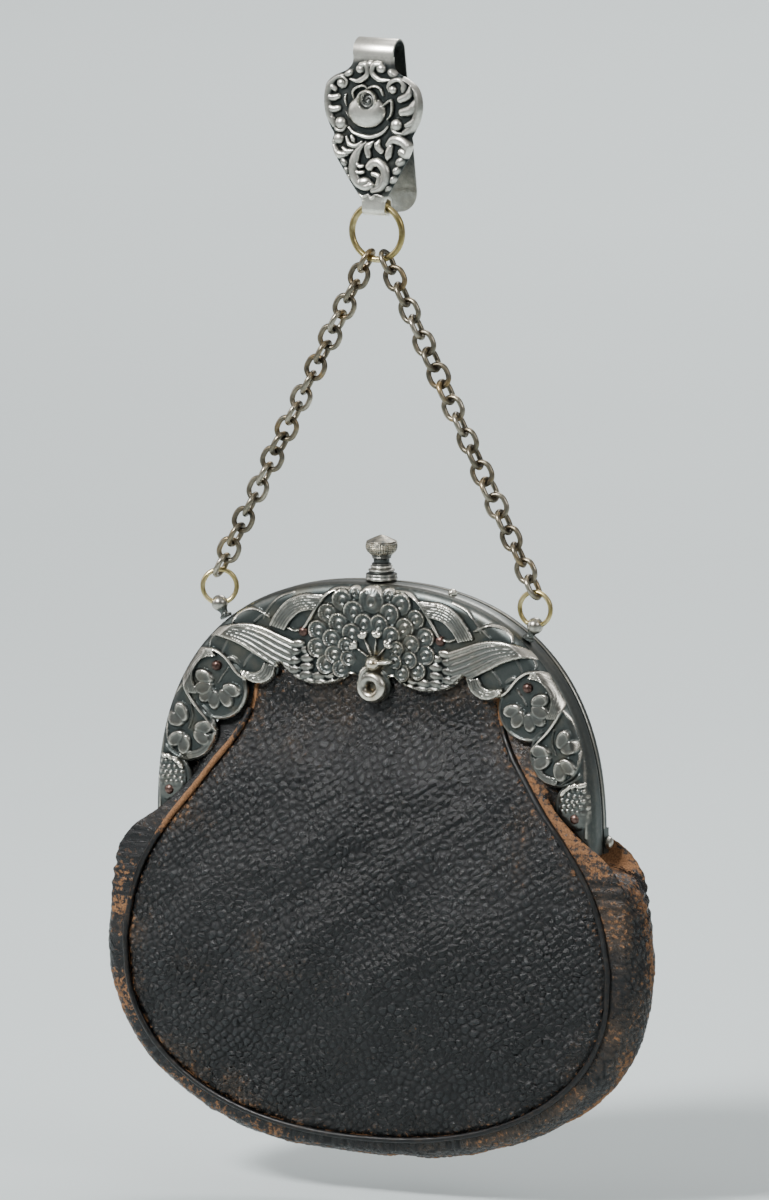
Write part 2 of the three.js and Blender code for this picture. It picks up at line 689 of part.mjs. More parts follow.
function gusset() {
  const grid = [];
  seam.forEach(([x, z], i) => {
    if (z > 36) return;
    const [nx, nz] = outward(seam, i);
    const way = new THREE.Vector2(nx, Math.min(nz, 0)).normalize();
    const depth = lookUp(POUCH, z, 2) - 0.75;
    const [lip, half, mid] = [1, 2, 3].map((column) => lookUp(GUSSET, z, column));
    const section = [
      // across, reach
      [-depth, 1.25],
      [-0.85 * depth, lip],
      [-0.46 * depth, half],
      [0, mid],
      [0.46 * depth, half],
      [0.85 * depth, lip],
      [depth, 1.25],
    ];
    grid.push(section.map(([y, reach]) => new THREE.Vector3(x + reach * way.x, y, z + reach * way.y)));
  });
  return sheet(grid, LEATHER - 0.2, false);
}

addPart(bag, "gusset", gusset(), HIDE);

for (const [name, side] of [["front_welt", -1], ["back_welt", 1]]) {
  const route = seam.filter(([, z]) => z < 28).map(([x, z]) =>
    new THREE.Vector3(x, side * lookUp(POUCH, z, 2), z));
  const ring = ellipse(0, 0, WELT_RADIUS, WELT_RADIUS, 5);
  const section = new THREE.Shape(ring.map(([x, y]) => new THREE.Vector2(x, y)));
  const welt = new THREE.ExtrudeGeometry(section, {
    steps: 32, bevelEnabled: false, extrudePath: new THREE.CatmullRomCurve3(route),
  });
  addPart(bag, name, welt, HIDE);
}

export default scene;
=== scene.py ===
# %% [markdown]
# # An antique chatelaine handbag
# The real bag is a pebbled black leather pouch on a cast silver frame, hung by two chains from a belt clip.
# The measured solids come in first and stay where they are: they give every piece its place and its size.
# Each piece below is a finer mesh that stands for one of them, so the bag looks made, not machined.

# %% Load the measured solids
import math

import bpy
import numpy as np
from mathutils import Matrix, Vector


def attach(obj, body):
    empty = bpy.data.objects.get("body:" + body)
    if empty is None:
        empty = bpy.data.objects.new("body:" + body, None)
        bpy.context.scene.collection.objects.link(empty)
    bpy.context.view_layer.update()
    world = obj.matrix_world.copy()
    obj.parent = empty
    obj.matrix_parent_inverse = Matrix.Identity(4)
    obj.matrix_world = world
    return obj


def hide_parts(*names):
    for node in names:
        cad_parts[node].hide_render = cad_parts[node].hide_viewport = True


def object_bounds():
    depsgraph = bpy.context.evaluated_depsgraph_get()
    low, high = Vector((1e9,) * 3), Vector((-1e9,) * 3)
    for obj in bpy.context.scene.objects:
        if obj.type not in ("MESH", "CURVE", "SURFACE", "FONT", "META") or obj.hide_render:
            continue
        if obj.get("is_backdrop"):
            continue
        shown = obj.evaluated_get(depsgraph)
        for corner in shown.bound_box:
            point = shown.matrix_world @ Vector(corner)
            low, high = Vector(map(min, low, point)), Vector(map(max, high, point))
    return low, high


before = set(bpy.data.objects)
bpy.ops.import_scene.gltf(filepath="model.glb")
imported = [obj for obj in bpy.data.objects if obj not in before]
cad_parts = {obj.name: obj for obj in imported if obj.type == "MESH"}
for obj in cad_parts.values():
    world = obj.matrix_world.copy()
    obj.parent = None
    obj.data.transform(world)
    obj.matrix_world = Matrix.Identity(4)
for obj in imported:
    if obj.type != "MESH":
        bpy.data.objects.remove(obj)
cad_low, cad_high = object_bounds()
MM = 0.001

# %% [markdown]
# ## Camera
# A museum photograph is taken from far away with a long lens, so parallel edges stay parallel. The camera
# stands to the right of the bag and a little above it. Its lens is worked out from the scale of the
# picture, because a long lens and a long distance together set how large the bag appears.

# %% Camera
IMAGE_HEIGHT = 1200
PIXELS_PER_MM = 4.1
VIEW_TURN = math.radians(26)
VIEW_RISE = math.radians(8.5)
VIEW_DISTANCE = 8.0
SENSOR = 36
AIM = Vector((0.98, 1.0, -137.6)) * MM

level_part = math.cos(VIEW_RISE)
away = Vector((math.sin(VIEW_TURN) * level_part, -math.cos(VIEW_TURN) * level_part, math.sin(VIEW_RISE)))
camera = bpy.data.objects.new("camera", bpy.data.cameras.new("camera"))
bpy.context.scene.collection.objects.link(camera)
camera.location = AIM + away * VIEW_DISTANCE
camera.rotation_euler = away.to_track_quat("Z", "Y").to_euler()
camera.data.sensor_fit = "VERTICAL"
camera.data.sensor_height = SENSOR
camera.data.lens = SENSOR * VIEW_DISTANCE / (IMAGE_HEIGHT / PIXELS_PER_MM * MM)
bpy.context.scene.camera = camera
print("lens", round(camera.data.lens, 1), "mm")

# %% [markdown]
# ## Node helpers
# A material is a small graph of nodes. Writing each node and its links by hand takes many lines, so one
# helper adds a node, sets its options, and links or sets its inputs. The others are short names for nodes
# used often.

# %% Add nodes and start a finish
def add(tree, kind, inputs=None, **options):
    made = tree.nodes.new("ShaderNode" + kind)
    for name, value in options.items():
        setattr(made, name, value)
    for name, value in (inputs or {}).items():
        if isinstance(value, bpy.types.NodeSocket):
            tree.links.new(value, made.inputs[name])
        else:
            made.inputs[name].default_value = value
    return made


def new_finish(name, **sockets):
    material = bpy.data.materials.new(name)
    material.use_nodes = True
    tree = material.node_tree
    shader = tree.nodes["Principled BSDF"]
    for socket, value in sockets.items():
        shader.inputs[socket.replace("_", " ")].default_value = value
    return material, tree, shader


# %% Short names for common nodes
def ramp(tree, factor, stops):
    """A colour ramp from (position, colour or grey) stops."""
    made = add(tree, "ValToRGB", {"Fac": factor})
    elements = made.color_ramp.elements
    while len(elements) < len(stops):
        elements.new(0.5)
    for element, (position, colour) in zip(elements, stops):
        element.position = position
        grey = isinstance(colour, (int, float))
        element.color = (colour, colour, colour, 1) if grey else (*colour, 1)
    return made.outputs["Color"]


def noise(tree, scale, detail=3, roughness=0.55):
    place = add(tree, "TexCoord").outputs["Object"]
    inputs = {"Vector": place, "Scale": scale, "Detail": detail, "Roughness": roughness}
    return add(tree, "TexNoise", inputs).outputs["Fac"]


def calc(tree, operation, a, b, c=0.0):
    return add(tree, "Math", {0: a, 1: b, 2: c}, operation=operation).outputs[0]


def attribute(tree, name):
    return add(tree, "Attribute", attribute_name=name).outputs["Fac"]


def mix_colour(tree, factor, a, b):
    made = add(tree, "Mix", data_type="RGBA")
    for place, value in ((0, factor), (6, a), (7, b)):
        if isinstance(value, bpy.types.NodeSocket):
            tree.links.new(value, made.inputs[place])
        else:
            made.inputs[place].default_value = (*value, 1)
    return made.outputs[2]


def press(tree, shader, height, depth, strength):
    """Dent a surface by a height, with the depth in millimetres."""
    dents = add(tree, "Bump", {"Strength": strength, "Distance": depth * MM, "Height": height})
    tree.links.new(dents.outputs["Normal"], shader.inputs["Normal"])


# %% [markdown]
# ## Floor and light
# The bag hangs just above a wide sheet of pale paper. A soft light stands in front at the upper left and
# gives the gleam on the metal, the sparkle on the grain and the shadow that falls back to the right. Its
# beam is narrow, so the paper in front of the bag stays dim and does not shine back on the leather. A
# second light hangs over the paper behind the bag and keeps it even. Metal shows only what it reflects, so
# the room is bright above.

# %% Floor
FLOOR_GAP = 10 * MM
FLOOR_HALF = 8.0

paper, tree, shader = new_finish("floor_paper", Roughness=0.95)
fibres = noise(tree, 3.0)
tree.links.new(ramp(tree, fibres, [(0.3, (0.670, 0.737, 0.740)), (0.7, (0.695, 0.762, 0.765))]),
               shader.inputs["Base Color"])

floor_height = cad_low.z - FLOOR_GAP
corners = [(x * FLOOR_HALF, y * FLOOR_HALF, floor_height) for x, y in ((-1, -1), (1, -1), (1, 1), (-1, 1))]
mesh = bpy.data.meshes.new("floor")
mesh.from_pydata(corners, [], [(0, 1, 2, 3)])
mesh.materials.append(paper)
floor = bpy.data.objects.new("floor", mesh)
bpy.context.scene.collection.objects.link(floor)
floor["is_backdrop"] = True
print("floor at", round(floor_height / MM, 1), "mm")

# %% Lights
LIGHTS = [
    # name, place and target from the aim in metres, size, watts, beam in degrees
    ("key", (-0.52, -1.58, 1.34), (0, 0.5, 0), 0.45, 6.6, 50),
    ("left", (-1.3, -0.3, 0.5), (0, 0, 0), 0.8, 1.1, 90),
    ("right", (1.2, -0.5, 0.7), (0, 0, 0), 0.5, 0.9, 90),
    ("top", (0.0, 0.2, 1.3), (0, 0.2, 0), 0.8, 0.7, 80),
    ("behind", (-0.4, 2.1, 1.75), (-0.4, 2.1, 0), 1.0, 38.0, 150),
]
for name, place, target, size, watts, beam in LIGHTS:
    lamp = bpy.data.lights.new(name, "AREA")
    lamp.size = size
    lamp.energy = watts
    lamp.spread = math.radians(beam)
    light = bpy.data.objects.new(name, lamp)
    light.location = AIM + Vector(place)
    light.rotation_euler = (Vector(place) - Vector(target)).to_track_quat("Z", "Y").to_euler()
    bpy.context.scene.collection.objects.link(light)

world = bpy.data.worlds.new("studio")
bpy.context.scene.world = world
world.use_nodes = True
room = world.node_tree
direction = add(room, "SeparateXYZ", {0: add(room, "TexCoord").outputs["Generated"]})
height = calc(room, "MULTIPLY_ADD", direction.outputs["Z"], 0.5, 0.5)
behind = calc(room, "MULTIPLY", direction.outputs["Y"], 0.22)
glow = ramp(room, calc(room, "ADD", height, behind), [(0.30, 0.10), (0.52, 0.25), (0.72, 0.70), (0.95, 1.0)])
room.links.new(glow, room.nodes["Background"].inputs["Color"])
room.nodes["Background"].inputs["Strength"].default_value = 0.42
print("lights:", [row[0] for row in LIGHTS])

# %% [markdown]
# ## Mesh helpers
# Every piece is a list of points in millimetres and a list of faces. Three ways of making them cover most
# of the bag: a grid of points, a profile turned about an axis, and a tube that follows a line. Points on
# the bag are counted from the hinge line of its frame, and one helper moves them to their place.

# %% Grids of faces
BAG = np.array([0.0, 1.0, -193.9])
CLIP_PLACE = np.zeros(3)


def grid_faces(rows, columns, wrap=False, start=0, flip=False):
    last = columns if wrap else columns - 1
    r, c = np.meshgrid(np.arange(rows - 1), np.arange(last), indexing="ij")
    a = r * columns + c
    b = r * columns + (c + 1) % columns
    quads = np.stack([a, b, b + columns, a + columns], -1).reshape(-1, 4) + start
    return (quads[:, ::-1] if flip else quads).tolist()


def merged(parts):
    """Several (points, faces) pairs as one."""
    points, faces, count = [], [], 0
    for p, f in parts:
        points.append(np.asarray(p, float))
        faces += [[i + count for i in face] for face in f]
        count += len(p)
    return np.vstack(points), faces


# %% Put a piece in the scene
def put_piece(name, points, faces, finish, stands_for, values=None, body="bag", place=BAG, sharp=38):
    mesh = bpy.data.meshes.new(name)
    mesh.from_pydata(((np.asarray(points, float) + place) * MM).tolist(), [], faces)
    for key, numbers in (values or {}).items():
        layer = mesh.attributes.new(key, "FLOAT", "POINT")
        layer.data.foreach_set("value", np.broadcast_to(numbers, len(points)).astype(np.float32))
    mesh.validate()
    mesh.shade_smooth()
    mesh.set_sharp_from_angle(angle=math.radians(sharp))
    mesh.materials.append(finish)
    piece = bpy.data.objects.new(name, mesh)
    bpy.context.scene.collection.objects.link(piece)
    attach(piece, body)
    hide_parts(stands_for)
    print(name, "faces", len(faces))


# %% Curves and turned shapes
def smooth_line(points, per=10):
    """More points on a smooth curve through a few."""
    p = np.array(points, float)
    ends = np.vstack([2 * p[0] - p[1], p, 2 * p[-1] - p[-2]])
    t = np.linspace(0, 1, per, endpoint=False)[:, None]
    parts = []
    for a, b, c, d in zip(ends, ends[1:], ends[2:], ends[3:]):
        square = 2 * a - 5 * b + 4 * c - d
        cube = 3 * b - a - 3 * c + d
        parts.append(b + 0.5 * t * (c - a + t * (square + t * cube)))
    return np.vstack([*parts, p[-1:]])


def turned(rows, sides, ripple=None):
    """A profile of (radius, height) rows turned about Z. ripple adds to the radius by height and angle."""
    angle = np.arange(sides) / sides * 2 * np.pi
    radius, height = (np.repeat(np.array(rows, float)[:, k:k + 1], sides, 1) for k in (0, 1))
    if ripple:
        radius = radius + ripple(height, angle) * (radius > 0)
    points = np.stack([radius * np.cos(angle), radius * np.sin(angle), height], -1).reshape(-1, 3)
    return points, grid_faces(len(rows), sides, wrap=True)


# %% Tubes and turning
def unit(v):
    return v / np.maximum(np.linalg.norm(v, axis=-1, keepdims=True), 1e-12)


def tube(line, radius, sides, closed=False, up=(0, 1, 0)):
    """A round tube along a line of points. radius is a number or one number for each point."""
    line = np.asarray(line, float)
    n = len(line)
    along = np.roll(line, -1, 0) - np.roll(line, 1, 0) if closed else np.gradient(line, axis=0)
    along = unit(along)
    across = unit(np.cross(along, np.array(up, float)))
    over = np.cross(across, along)
    angle = (np.arange(sides) / sides * 2 * np.pi)[None, :, None]
    radius = np.broadcast_to(radius, n)[:, None, None]
    points = line[:, None] + radius * (across[:, None] * np.cos(angle) + over[:, None] * np.sin(angle))
    points = points.reshape(-1, 3)
    if closed:
        return points, (np.array(grid_faces(n + 1, sides, wrap=True)) % (n * sides)).tolist()
    ends = [list(range(sides))[::-1], [(n - 1) * sides + i for i in range(sides)]]
    return points, grid_faces(n, sides, wrap=True) + ends


def turn_about(points, axis, angle):
    c, s = math.cos(angle), math.sin(angle)
    a, b = [(1, 2), (2, 0), (0, 1)]["XYZ".index(axis)]
    result = np.array(points, float)
    result[:, a] = c * points[:, a] - s * points[:, b]
    result[:, b] = s * points[:, a] + c * points[:, b]
    return result


# %% [markdown]
# ## Metal finishes
# Cast silver goes black in its hollows and stays bright where hands rub it. The meshes carry that as a
# number at each point, so the finish follows the carving from every side and needs no picture. On the
# frame's rim the same number also carries a painted highlight: the rim is painted brighter towards the top
# of the arch, where light falls from above. A little noise breaks the edge between black and bright. A second
# number, gilt, shows where it is warm.

# %% Finish: oxidised silver
def silver_finish(name, tones, warm, warm_share, smoothness):
    material, tree, shader = new_finish(name, Metallic=1.0)
    grime = noise(tree, 900, 5, 0.65)
    patches = noise(tree, 160, 4)
    level = calc(tree, "ADD", attribute(tree, "rubbed"), calc(tree, "MULTIPLY_ADD", grime, 0.34, -0.17))
    metal = ramp(tree, level, list(zip((0.06, 0.34, 0.62, 0.92), tones)))
    gilt = calc(tree, "MULTIPLY", attribute(tree, "gilt"), ramp(tree, grime, [(0.35, 0.0), (0.62, 1.0)]))
    tint = calc(tree, "MAXIMUM", gilt, ramp(tree, patches, [(0.54, 0.0), (0.70, warm_share)]))
    tree.links.new(mix_colour(tree, tint, metal, warm), shader.inputs["Base Color"])
    rough = ramp(tree, level, [(0.1, smoothness[1]), (0.8, smoothness[0])])
    tree.links.new(rough, shader.inputs["Roughness"])
    press(tree, shader, noise(tree, 2600, 2), 0.06, 0.12)
    return material


FRAME_TONES = [(0.066, 0.077, 0.075), (0.110, 0.121, 0.115), (0.21, 0.209, 0.190), (0.95, 0.905, 0.79)]
CLIP_TONES = [(0.036, 0.042, 0.041), (0.12, 0.126, 0.120), (0.40, 0.392, 0.355), (0.99, 0.965, 0.87)]
CHAIN_TONES = [(0.02, 0.019, 0.016), (0.09, 0.085, 0.070), (0.25, 0.235, 0.19), (0.72, 0.68, 0.58)]
FRAME_SILVER = silver_finish("frame_silver", FRAME_TONES, (0.52, 0.41, 0.25), 0.10, (0.27, 0.44))
CLIP_SILVER = silver_finish("clip_silver", CLIP_TONES, (0.62, 0.54, 0.40), 0.05, (0.33, 0.49))
CHAIN_SILVER = silver_finish("chain_silver", CHAIN_TONES, (0.44, 0.30, 0.13), 0.7, (0.26, 0.46))
print("silver finishes:", FRAME_SILVER.name, CLIP_SILVER.name, CHAIN_SILVER.name)

# %% Finish: brass and copper
def plain_metal(name, first, second, roughness):
    material, tree, shader = new_finish(name, Metallic=1.0, Roughness=roughness)
    cloudy = noise(tree, 260, 5, 0.6)
    tree.links.new(ramp(tree, cloudy, [(0.38, first), (0.62, second)]), shader.inputs["Base Color"])
    press(tree, shader, noise(tree, 1900, 2), 0.05, 0.12)
    return material


BRASS = plain_metal("worn_brass", (0.40, 0.315, 0.125), (0.70, 0.585, 0.31), 0.28)
COPPER = plain_metal("dark_copper", (0.055, 0.034, 0.030), (0.20, 0.125, 0.105), 0.36)
print("other metal finishes:", BRASS.name, COPPER.name)

# %% [markdown]
# ## Carving in relief
# The frame and the clip carry low relief: feathers, ribbons, leaves and a rose. Modelling each leaf by hand
# would take long and would be hard to change. Instead a sheet of heights is raised motif by motif, as a
# chaser raises metal with a punch, and the sheet then becomes a mesh. Each motif is a short formula over x
# and z.

# %% A sheet of heights
class Sheet:
    def __init__(self, low, high, step):
        self.x = np.arange(low[0], high[0] + step / 2, step)
        self.z = np.arange(low[1], high[1] + step / 2, step)
        self.X, self.Z = np.meshgrid(self.x, self.z)
        self.H = np.zeros_like(self.X)
        self.step = step

    def part(self, low, high):
        i = slice(*np.searchsorted(self.x, [low[0], high[0]]))
        j = slice(*np.searchsorted(self.z, [low[1], high[1]]))
        return j, i

    def window(self, x, z, reach):
        """A square part of the sheet, and the place of its points from x, z."""
        j, i = self.part((x - reach, z - reach), (x + reach, z + reach))
        return (j, i), self.X[j, i] - x, self.Z[j, i] - z

    def raise_to(self, where, height):
        self.H[where] = np.maximum(self.H[where], height)

    def nearest(self, line, reach):
        """Distance to a line and share along it, in a part of the sheet round the line."""
        where = self.part(line.min(0) - reach, line.max(0) + reach)
        X, Z = self.X[where], self.Z[where]
        best, share = np.full(X.shape, 1e9), np.zeros(X.shape)
        run = np.concatenate([[0], np.cumsum(np.hypot(*np.diff(line, axis=0).T))])
        for k, ((ax, az), (bx, bz)) in enumerate(zip(line, line[1:])):
            length = max(math.hypot(bx - ax, bz - az), 1e-9)
            t = np.clip(((X - ax) * (bx - ax) + (Z - az) * (bz - az)) / length**2, 0, 1)
            d = np.hypot(X - ax - t * (bx - ax), Z - az - t * (bz - az))
            near = d < best
            best[near] = d[near]
            share[near] = ((run[k] + t * length) / run[-1])[near]
        return where, best, share


def dome(distance, radius=1.0):
    return np.sqrt(np.clip(1 - (distance / radius) ** 2, 0, 1))


def bell(value, width):
    return np.exp(-((value / width) ** 2))


# %% Punches for lines, bands and bosses
def ridge(sheet, points, width, rise, taper=(1, 1), base=0.0):
    """A round line. taper gives its width at both ends as a share."""
    where, d, t = sheet.nearest(smooth_line(points), width)
    start = taper[0] + (1 - taper[0]) * np.clip(t * 3, 0, 1)
    end = taper[1] + (1 - taper[1]) * np.clip((1 - t) * 3, 0, 1)
    r = width / 2 * start * end
    sheet.raise_to(where, np.where(d < r, base + rise * (r / width * 2) ** 0.5 * dome(d, r), 0))


def even_line(points, count):
    line = smooth_line(points)
    share = np.linspace(0, 1, len(line))
    steps = np.linspace(0, 1, count)
    return np.stack([np.interp(steps, share, line[:, k]) for k in (0, 1)], -1)


def band(sheet, first, last, threads, rise, base=0.2):
    """Round threads side by side between two edge lines."""
    steps = np.linspace(0, 1, 60)
    near, far = even_line(first, 60), even_line(last, 60)
    width = np.maximum(np.hypot(*(far - near).T) / threads, 0.25)
    for k in range(threads):
        where, d, t = sheet.nearest(near + (far - near) * (k + 0.5) / threads, width.max())
        r = 0.56 * np.interp(t, steps, width)
        sheet.raise_to(where, np.where(d < r, base + rise * (0.45 + 0.55 * dome(d, r)), 0))


def boss(sheet, x, z, rx, rz, rise, turn=0.0, base=0.0, power=2):
    where, dx, dz = sheet.window(x, z, max(rx, rz))
    c, s = math.cos(turn), math.sin(turn)
    e = np.hypot((dx * c + dz * s) / rx, (dz * c - dx * s) / rz)
    sheet.raise_to(where, np.where(e < 1, base + rise * np.sqrt(np.clip(1 - e**power, 0, 1)), 0))


# %% [markdown]
# ## Sheet of heights to mesh
# The grid is cut to the outline by a field that is positive inside it. A plain cut leaves a staircase, so
# points at the edge slide along the slope of the field until they lie on the outline. A wall then runs back
# from the edge. On a metal plate one large face closes the back.

# %% Blur a sheet and follow its edge
def blurred(values, cells):
    for axis in (0, 1, 0, 1):
        pad = [(cells + 1, cells) if k == axis else (0, 0) for k in (0, 1)]
        total = np.cumsum(np.pad(values, pad, mode="edge"), axis)
        high = np.take(total, range(2 * cells + 1, total.shape[axis]), axis)
        low = np.take(total, range(0, total.shape[axis] - 2 * cells - 1), axis)
        values = (high - low) / (2 * cells + 1)
    return values


def edge_loops(quads):
    """The closed loops of corners round a set of quads."""
    sides = np.concatenate([quads[:, [k, (k + 1) % 4]] for k in range(4)])
    known = set(map(tuple, sides.tolist()))
    after = {a: b for a, b in known if (b, a) not in known}
    loops = []
    while after:
        first, corner = after.popitem()
        loop = [first]
        while corner != first:
            loop.append(corner)
            corner = after.pop(corner)
        loops.append(loop)
    return loops


# %% Cut a sheet to its outline
def relief_mesh(sheet, inside, surface, back, values, closed=True):
    """Points, faces and point values of the part of a sheet where inside is positive."""
    mean = (inside[:-1, :-1] + inside[1:, :-1] + inside[:-1, 1:] + inside[1:, 1:]) / 4
    r, c = np.nonzero(mean > 0)
    columns = len(sheet.x)
    corner = r * columns + c
    quads = np.stack([corner, corner + 1, corner + columns + 1, corner + columns], -1)
    around = np.bincount(quads.ravel(), minlength=inside.size).reshape(inside.shape)
    slope_z, slope_x = np.gradient(inside, sheet.step)
    steep = np.maximum(slope_x**2 + slope_z**2, 1e-6)
    limit = 0.9 * sheet.step / np.sqrt(steep)
    slide = np.where((around > 0) & (around < 4), np.clip(-inside / steep, -limit, limit), 0)
    place = [sheet.X + slide * slope_x, surface, sheet.Z + slide * slope_z]
    used, quads = np.unique(quads, return_inverse=True)
    quads = quads.reshape(-1, 4)
    flat = np.stack([axis.ravel()[used] for axis in place], -1)
    depth = np.broadcast_to(back, inside.shape).ravel()[used]
    faces = quads.tolist()
    points, picked, count = [flat], list(range(len(flat))), len(flat)
    for loop in edge_loops(quads):
        n = len(loop)
        wall = flat[loop].copy()
        wall[:, 1] = np.maximum(depth[loop], wall[:, 1])
        points.append(wall)
        picked += loop
        faces += [[loop[(k + 1) % n], loop[k], count + k, count + (k + 1) % n] for k in range(n)]
        if closed:
            faces.append([count + k for k in range(n)])
        count += n
    numbers = {key: value.ravel()[used][picked] for key, value in values.items()}
    return np.vstack(points), faces, numbers


# %% [markdown]
# ## Peacock and clover motifs
# The front of the frame shows a peacock: a fan of eyed feathers, wings of small scales, and long striped
# streamers. Ribbons, clover leaves and a berry fill the sides. The sides mirror each other, so the tables
# give the right half only, and the bird in the middle is added last.

# %% Eyed feather
HEAD = (0.7, 41.4)


def feather_eye(sheet, x, z, r):
    """A disc with a bright hood on its outer side, fine barbs and a ring on the side of the head."""
    where, dx, dz = sheet.window(x, z, 1.1 * r)
    reach = math.hypot(x - HEAD[0], z - HEAD[1])
    ox, oz = (x - HEAD[0]) / reach, (z - HEAD[1]) / reach
    out, across = (dx * ox + dz * oz) / r, (dz * ox - dx * oz) / r
    e, angle = np.hypot(out, across), np.arctan2(across, out)
    hood = bell(e - 0.84, 0.13) * (0.12 + 0.88 * np.clip(0.55 + out, 0, 1))
    barbs = 0.13 * np.cos(15 * angle) * bell(e - 0.62, 0.16) * np.clip(0.3 + out, 0, 1)
    ring = bell(np.hypot((out + 0.12) * 0.85, across) - 0.30, 0.11)
    wall = np.sqrt(np.clip((1 - e) / 0.14, 0, 1))
    height = (0.40 + 0.12 * out + 0.62 * hood + barbs + 0.34 * ring) * wall
    sheet.H[where] = np.where(e < 1, height, sheet.H[where])


# %% Clover leaf
def clover_leaf(sheet, x, z, length, degrees, rise):
    """A heart-shaped leaf with its point at x, z, dished lobes and a groove in the middle."""
    where, dx, dz = sheet.window(x, z, 1.3 * length)
    c, s = math.cos(math.radians(degrees)), math.sin(math.radians(degrees))
    u, v = (dx * c + dz * s) / length, (dz * c - dx * s) / length
    e = np.full(u.shape, 9.0)
    for side in (1, -1):
        p, q = u - 0.60, v - side * 0.22
        turn = side * 0.42
        cs, sn = math.cos(turn), math.sin(turn)
        e = np.minimum(e, np.hypot((p * cs + q * sn) / 0.50, (q * cs - p * sn) / 0.34))
    lip = np.sqrt(np.clip((1 - e) / 0.25, 0, 1))
    leaf = lip * (0.90 + 0.10 * bell(e - 0.72, 0.25)) - 0.16 * bell(v, 0.05) * (u < 0.85)
    sheet.raise_to(where, np.where(e < 1, rise * leaf, 0))


# %% Berry
BERRY = {"x": 55.1, "z": 9.6, "rx": 4.7, "rz": 5.9}
SEPALS = [
    # x, z, turn
    (52.0, 12.9, 0.9), (53.2, 14.0, 0.75), (54.8, 14.7, 0.6), (56.5, 14.9, 0.3),
]


def berry(sheet):
    """A strawberry with seeds on its upper half and four sepals."""
    where, dx, dz = sheet.window(BERRY["x"], BERRY["z"], 6.2)
    e = np.hypot(dx / BERRY["rx"], dz / BERRY["rz"])
    nearest = np.full(dx.shape, 9.0)
    for a in range(-4, 5):
        for b in range(-4, 5):
            cx = (a + 0.5 * (b % 2)) * 1.5 + 0.2 * math.sin(7 * a + 3 * b)
            cz = b * 1.3 + 0.2 * math.cos(5 * a + 2 * b)
            nearest = np.minimum(nearest, np.hypot(dx - cx, dz - cz))
    fade = np.clip((dz + 3.0) / 3.5, 0, 1) * np.clip((1 - e) / 0.12, 0, 1)
    sheet.raise_to(where, np.where(e < 1, 0.75 * dome(e) + 0.40 * fade * dome(nearest, 0.55), 0))
    for x, z, turn in SEPALS:
        boss(sheet, x, z, 1.25, 0.62, 0.55, turn, 0.75)


# %% Where the feathers and scales lie
EYES = [
    # x, z, radius, from the outer edge of the fan to the head
    (0.0, 57.0, 3.3), (4.6, 58.4, 1.7), (8.0, 56.4, 2.6), (12.0, 52.9, 2.35), (4.9, 53.8, 2.6),
    (14.6, 48.6, 2.4),
    (9.0, 50.6, 2.45), (14.8, 44.2, 2.4), (2.1, 51.0, 2.4), (5.4, 48.4, 2.4), (10.8, 46.7, 2.3),
    (12.4, 40.2, 2.3),
    (6.9, 45.2, 2.0), (10.3, 42.8, 2.15), (8.4, 39.4, 2.05), (6.4, 42.1, 1.85),
]
SCALES = [
    # x, z of the wing's small feathers
    (20.0, 44.9), (21.0, 42.8), (21.0, 40.6), (21.0, 38.4), (20.2, 36.4), (17.3, 43.6), (17.4, 41.5),
    (17.6, 39.4),
    (17.7, 37.4), (16.9, 35.6), (14.2, 37.4), (13.6, 35.6), (10.4, 36.0), (7.8, 36.8), (5.7, 38.0),
    (11.2, 37.7),
]
print("feather eyes:", len(EYES), "scales:", len(SCALES))

# %% Where the lines, bands and leaves lie
LINES = [
    # width, rise, taper, points
    (0.7, 0.4, (1, 1), [(39.0, 44.7), (40.2, 42.6), (40.8, 41.2)]),
    (0.7, 0.4, (1, 1), [(43.4, 45.2), (44.2, 43.9), (44.2, 42.4)]),
    (0.7, 0.4, (1, 1), [(32.0, 41.8), (33.8, 40.2), (34.8, 38.4)]),
    (0.7, 0.4, (1, 1), [(29.2, 51.8), (32.0, 49.4)]),
    (1.3, 0.5, (0.5, 0.6), [(36.2, 38.8), (37.8, 39.9), (39.5, 40.1)]),
    (0.6, 0.45, (1, 1), [(21.5, 57.6), (25.6, 55.8), (28.4, 52.6), (29.4, 50.6)]),
    (0.8, 0.6, (1, 1), [(27.8, 51.0), (31.5, 52.6), (35.0, 52.2), (37.3, 50.6), (38.0, 48.9)]),
    (1.0, 1.0, (1, 0.7), [(5.8, 59.3), (10.0, 58.9), (12.9, 56.9), (14.9, 54.2), (16.7, 51.4), (18.4, 48.9),
                          (20.8, 48.1), (22.6, 48.6)]),
    (1.5, 1.25, (0.6, 0.4), [(22.6, 37.6), (27.0, 39.6), (31.8, 42.2), (36.2, 44.4), (41.9, 45.9),
                             (46.2, 45.0),
                             (49.2, 43.2), (51.6, 40.7), (53.2, 38.4)]),
    (0.8, 0.5, (0.6, 1), [(53.2, 38.4), (55.0, 34.0), (56.2, 28.8), (56.9, 22.5), (57.4, 15.7), (57.7, 9.0),
                          (57.8, 2.0)]),
    (1.05, 1.1, (0.8, 0.6), [(34.4, 35.0), (36.8, 36.8), (39.6, 40.0), (42.4, 41.7), (45.6, 41.9),
                             (48.6, 40.8),
                             (50.9, 38.3), (51.6, 35.0), (50.4, 31.4), (47.8, 27.6), (44.9, 24.6),
                             (42.6, 22.0)]),
    (0.75, 0.75, (1, 0.6), [(51.6, 33.0), (54.4, 29.6), (56.0, 25.2), (56.0, 21.2), (54.8, 17.4),
                            (51.4, 14.8)]),
    (0.6, 0.5, (1, 1), [(49.2, 28.0), (48.8, 25.1), (49.8, 22.0)]),
    (0.6, 0.5, (1, 1), [(39.2, 37.4), (40.6, 35.6), (41.8, 33.7)]),
]
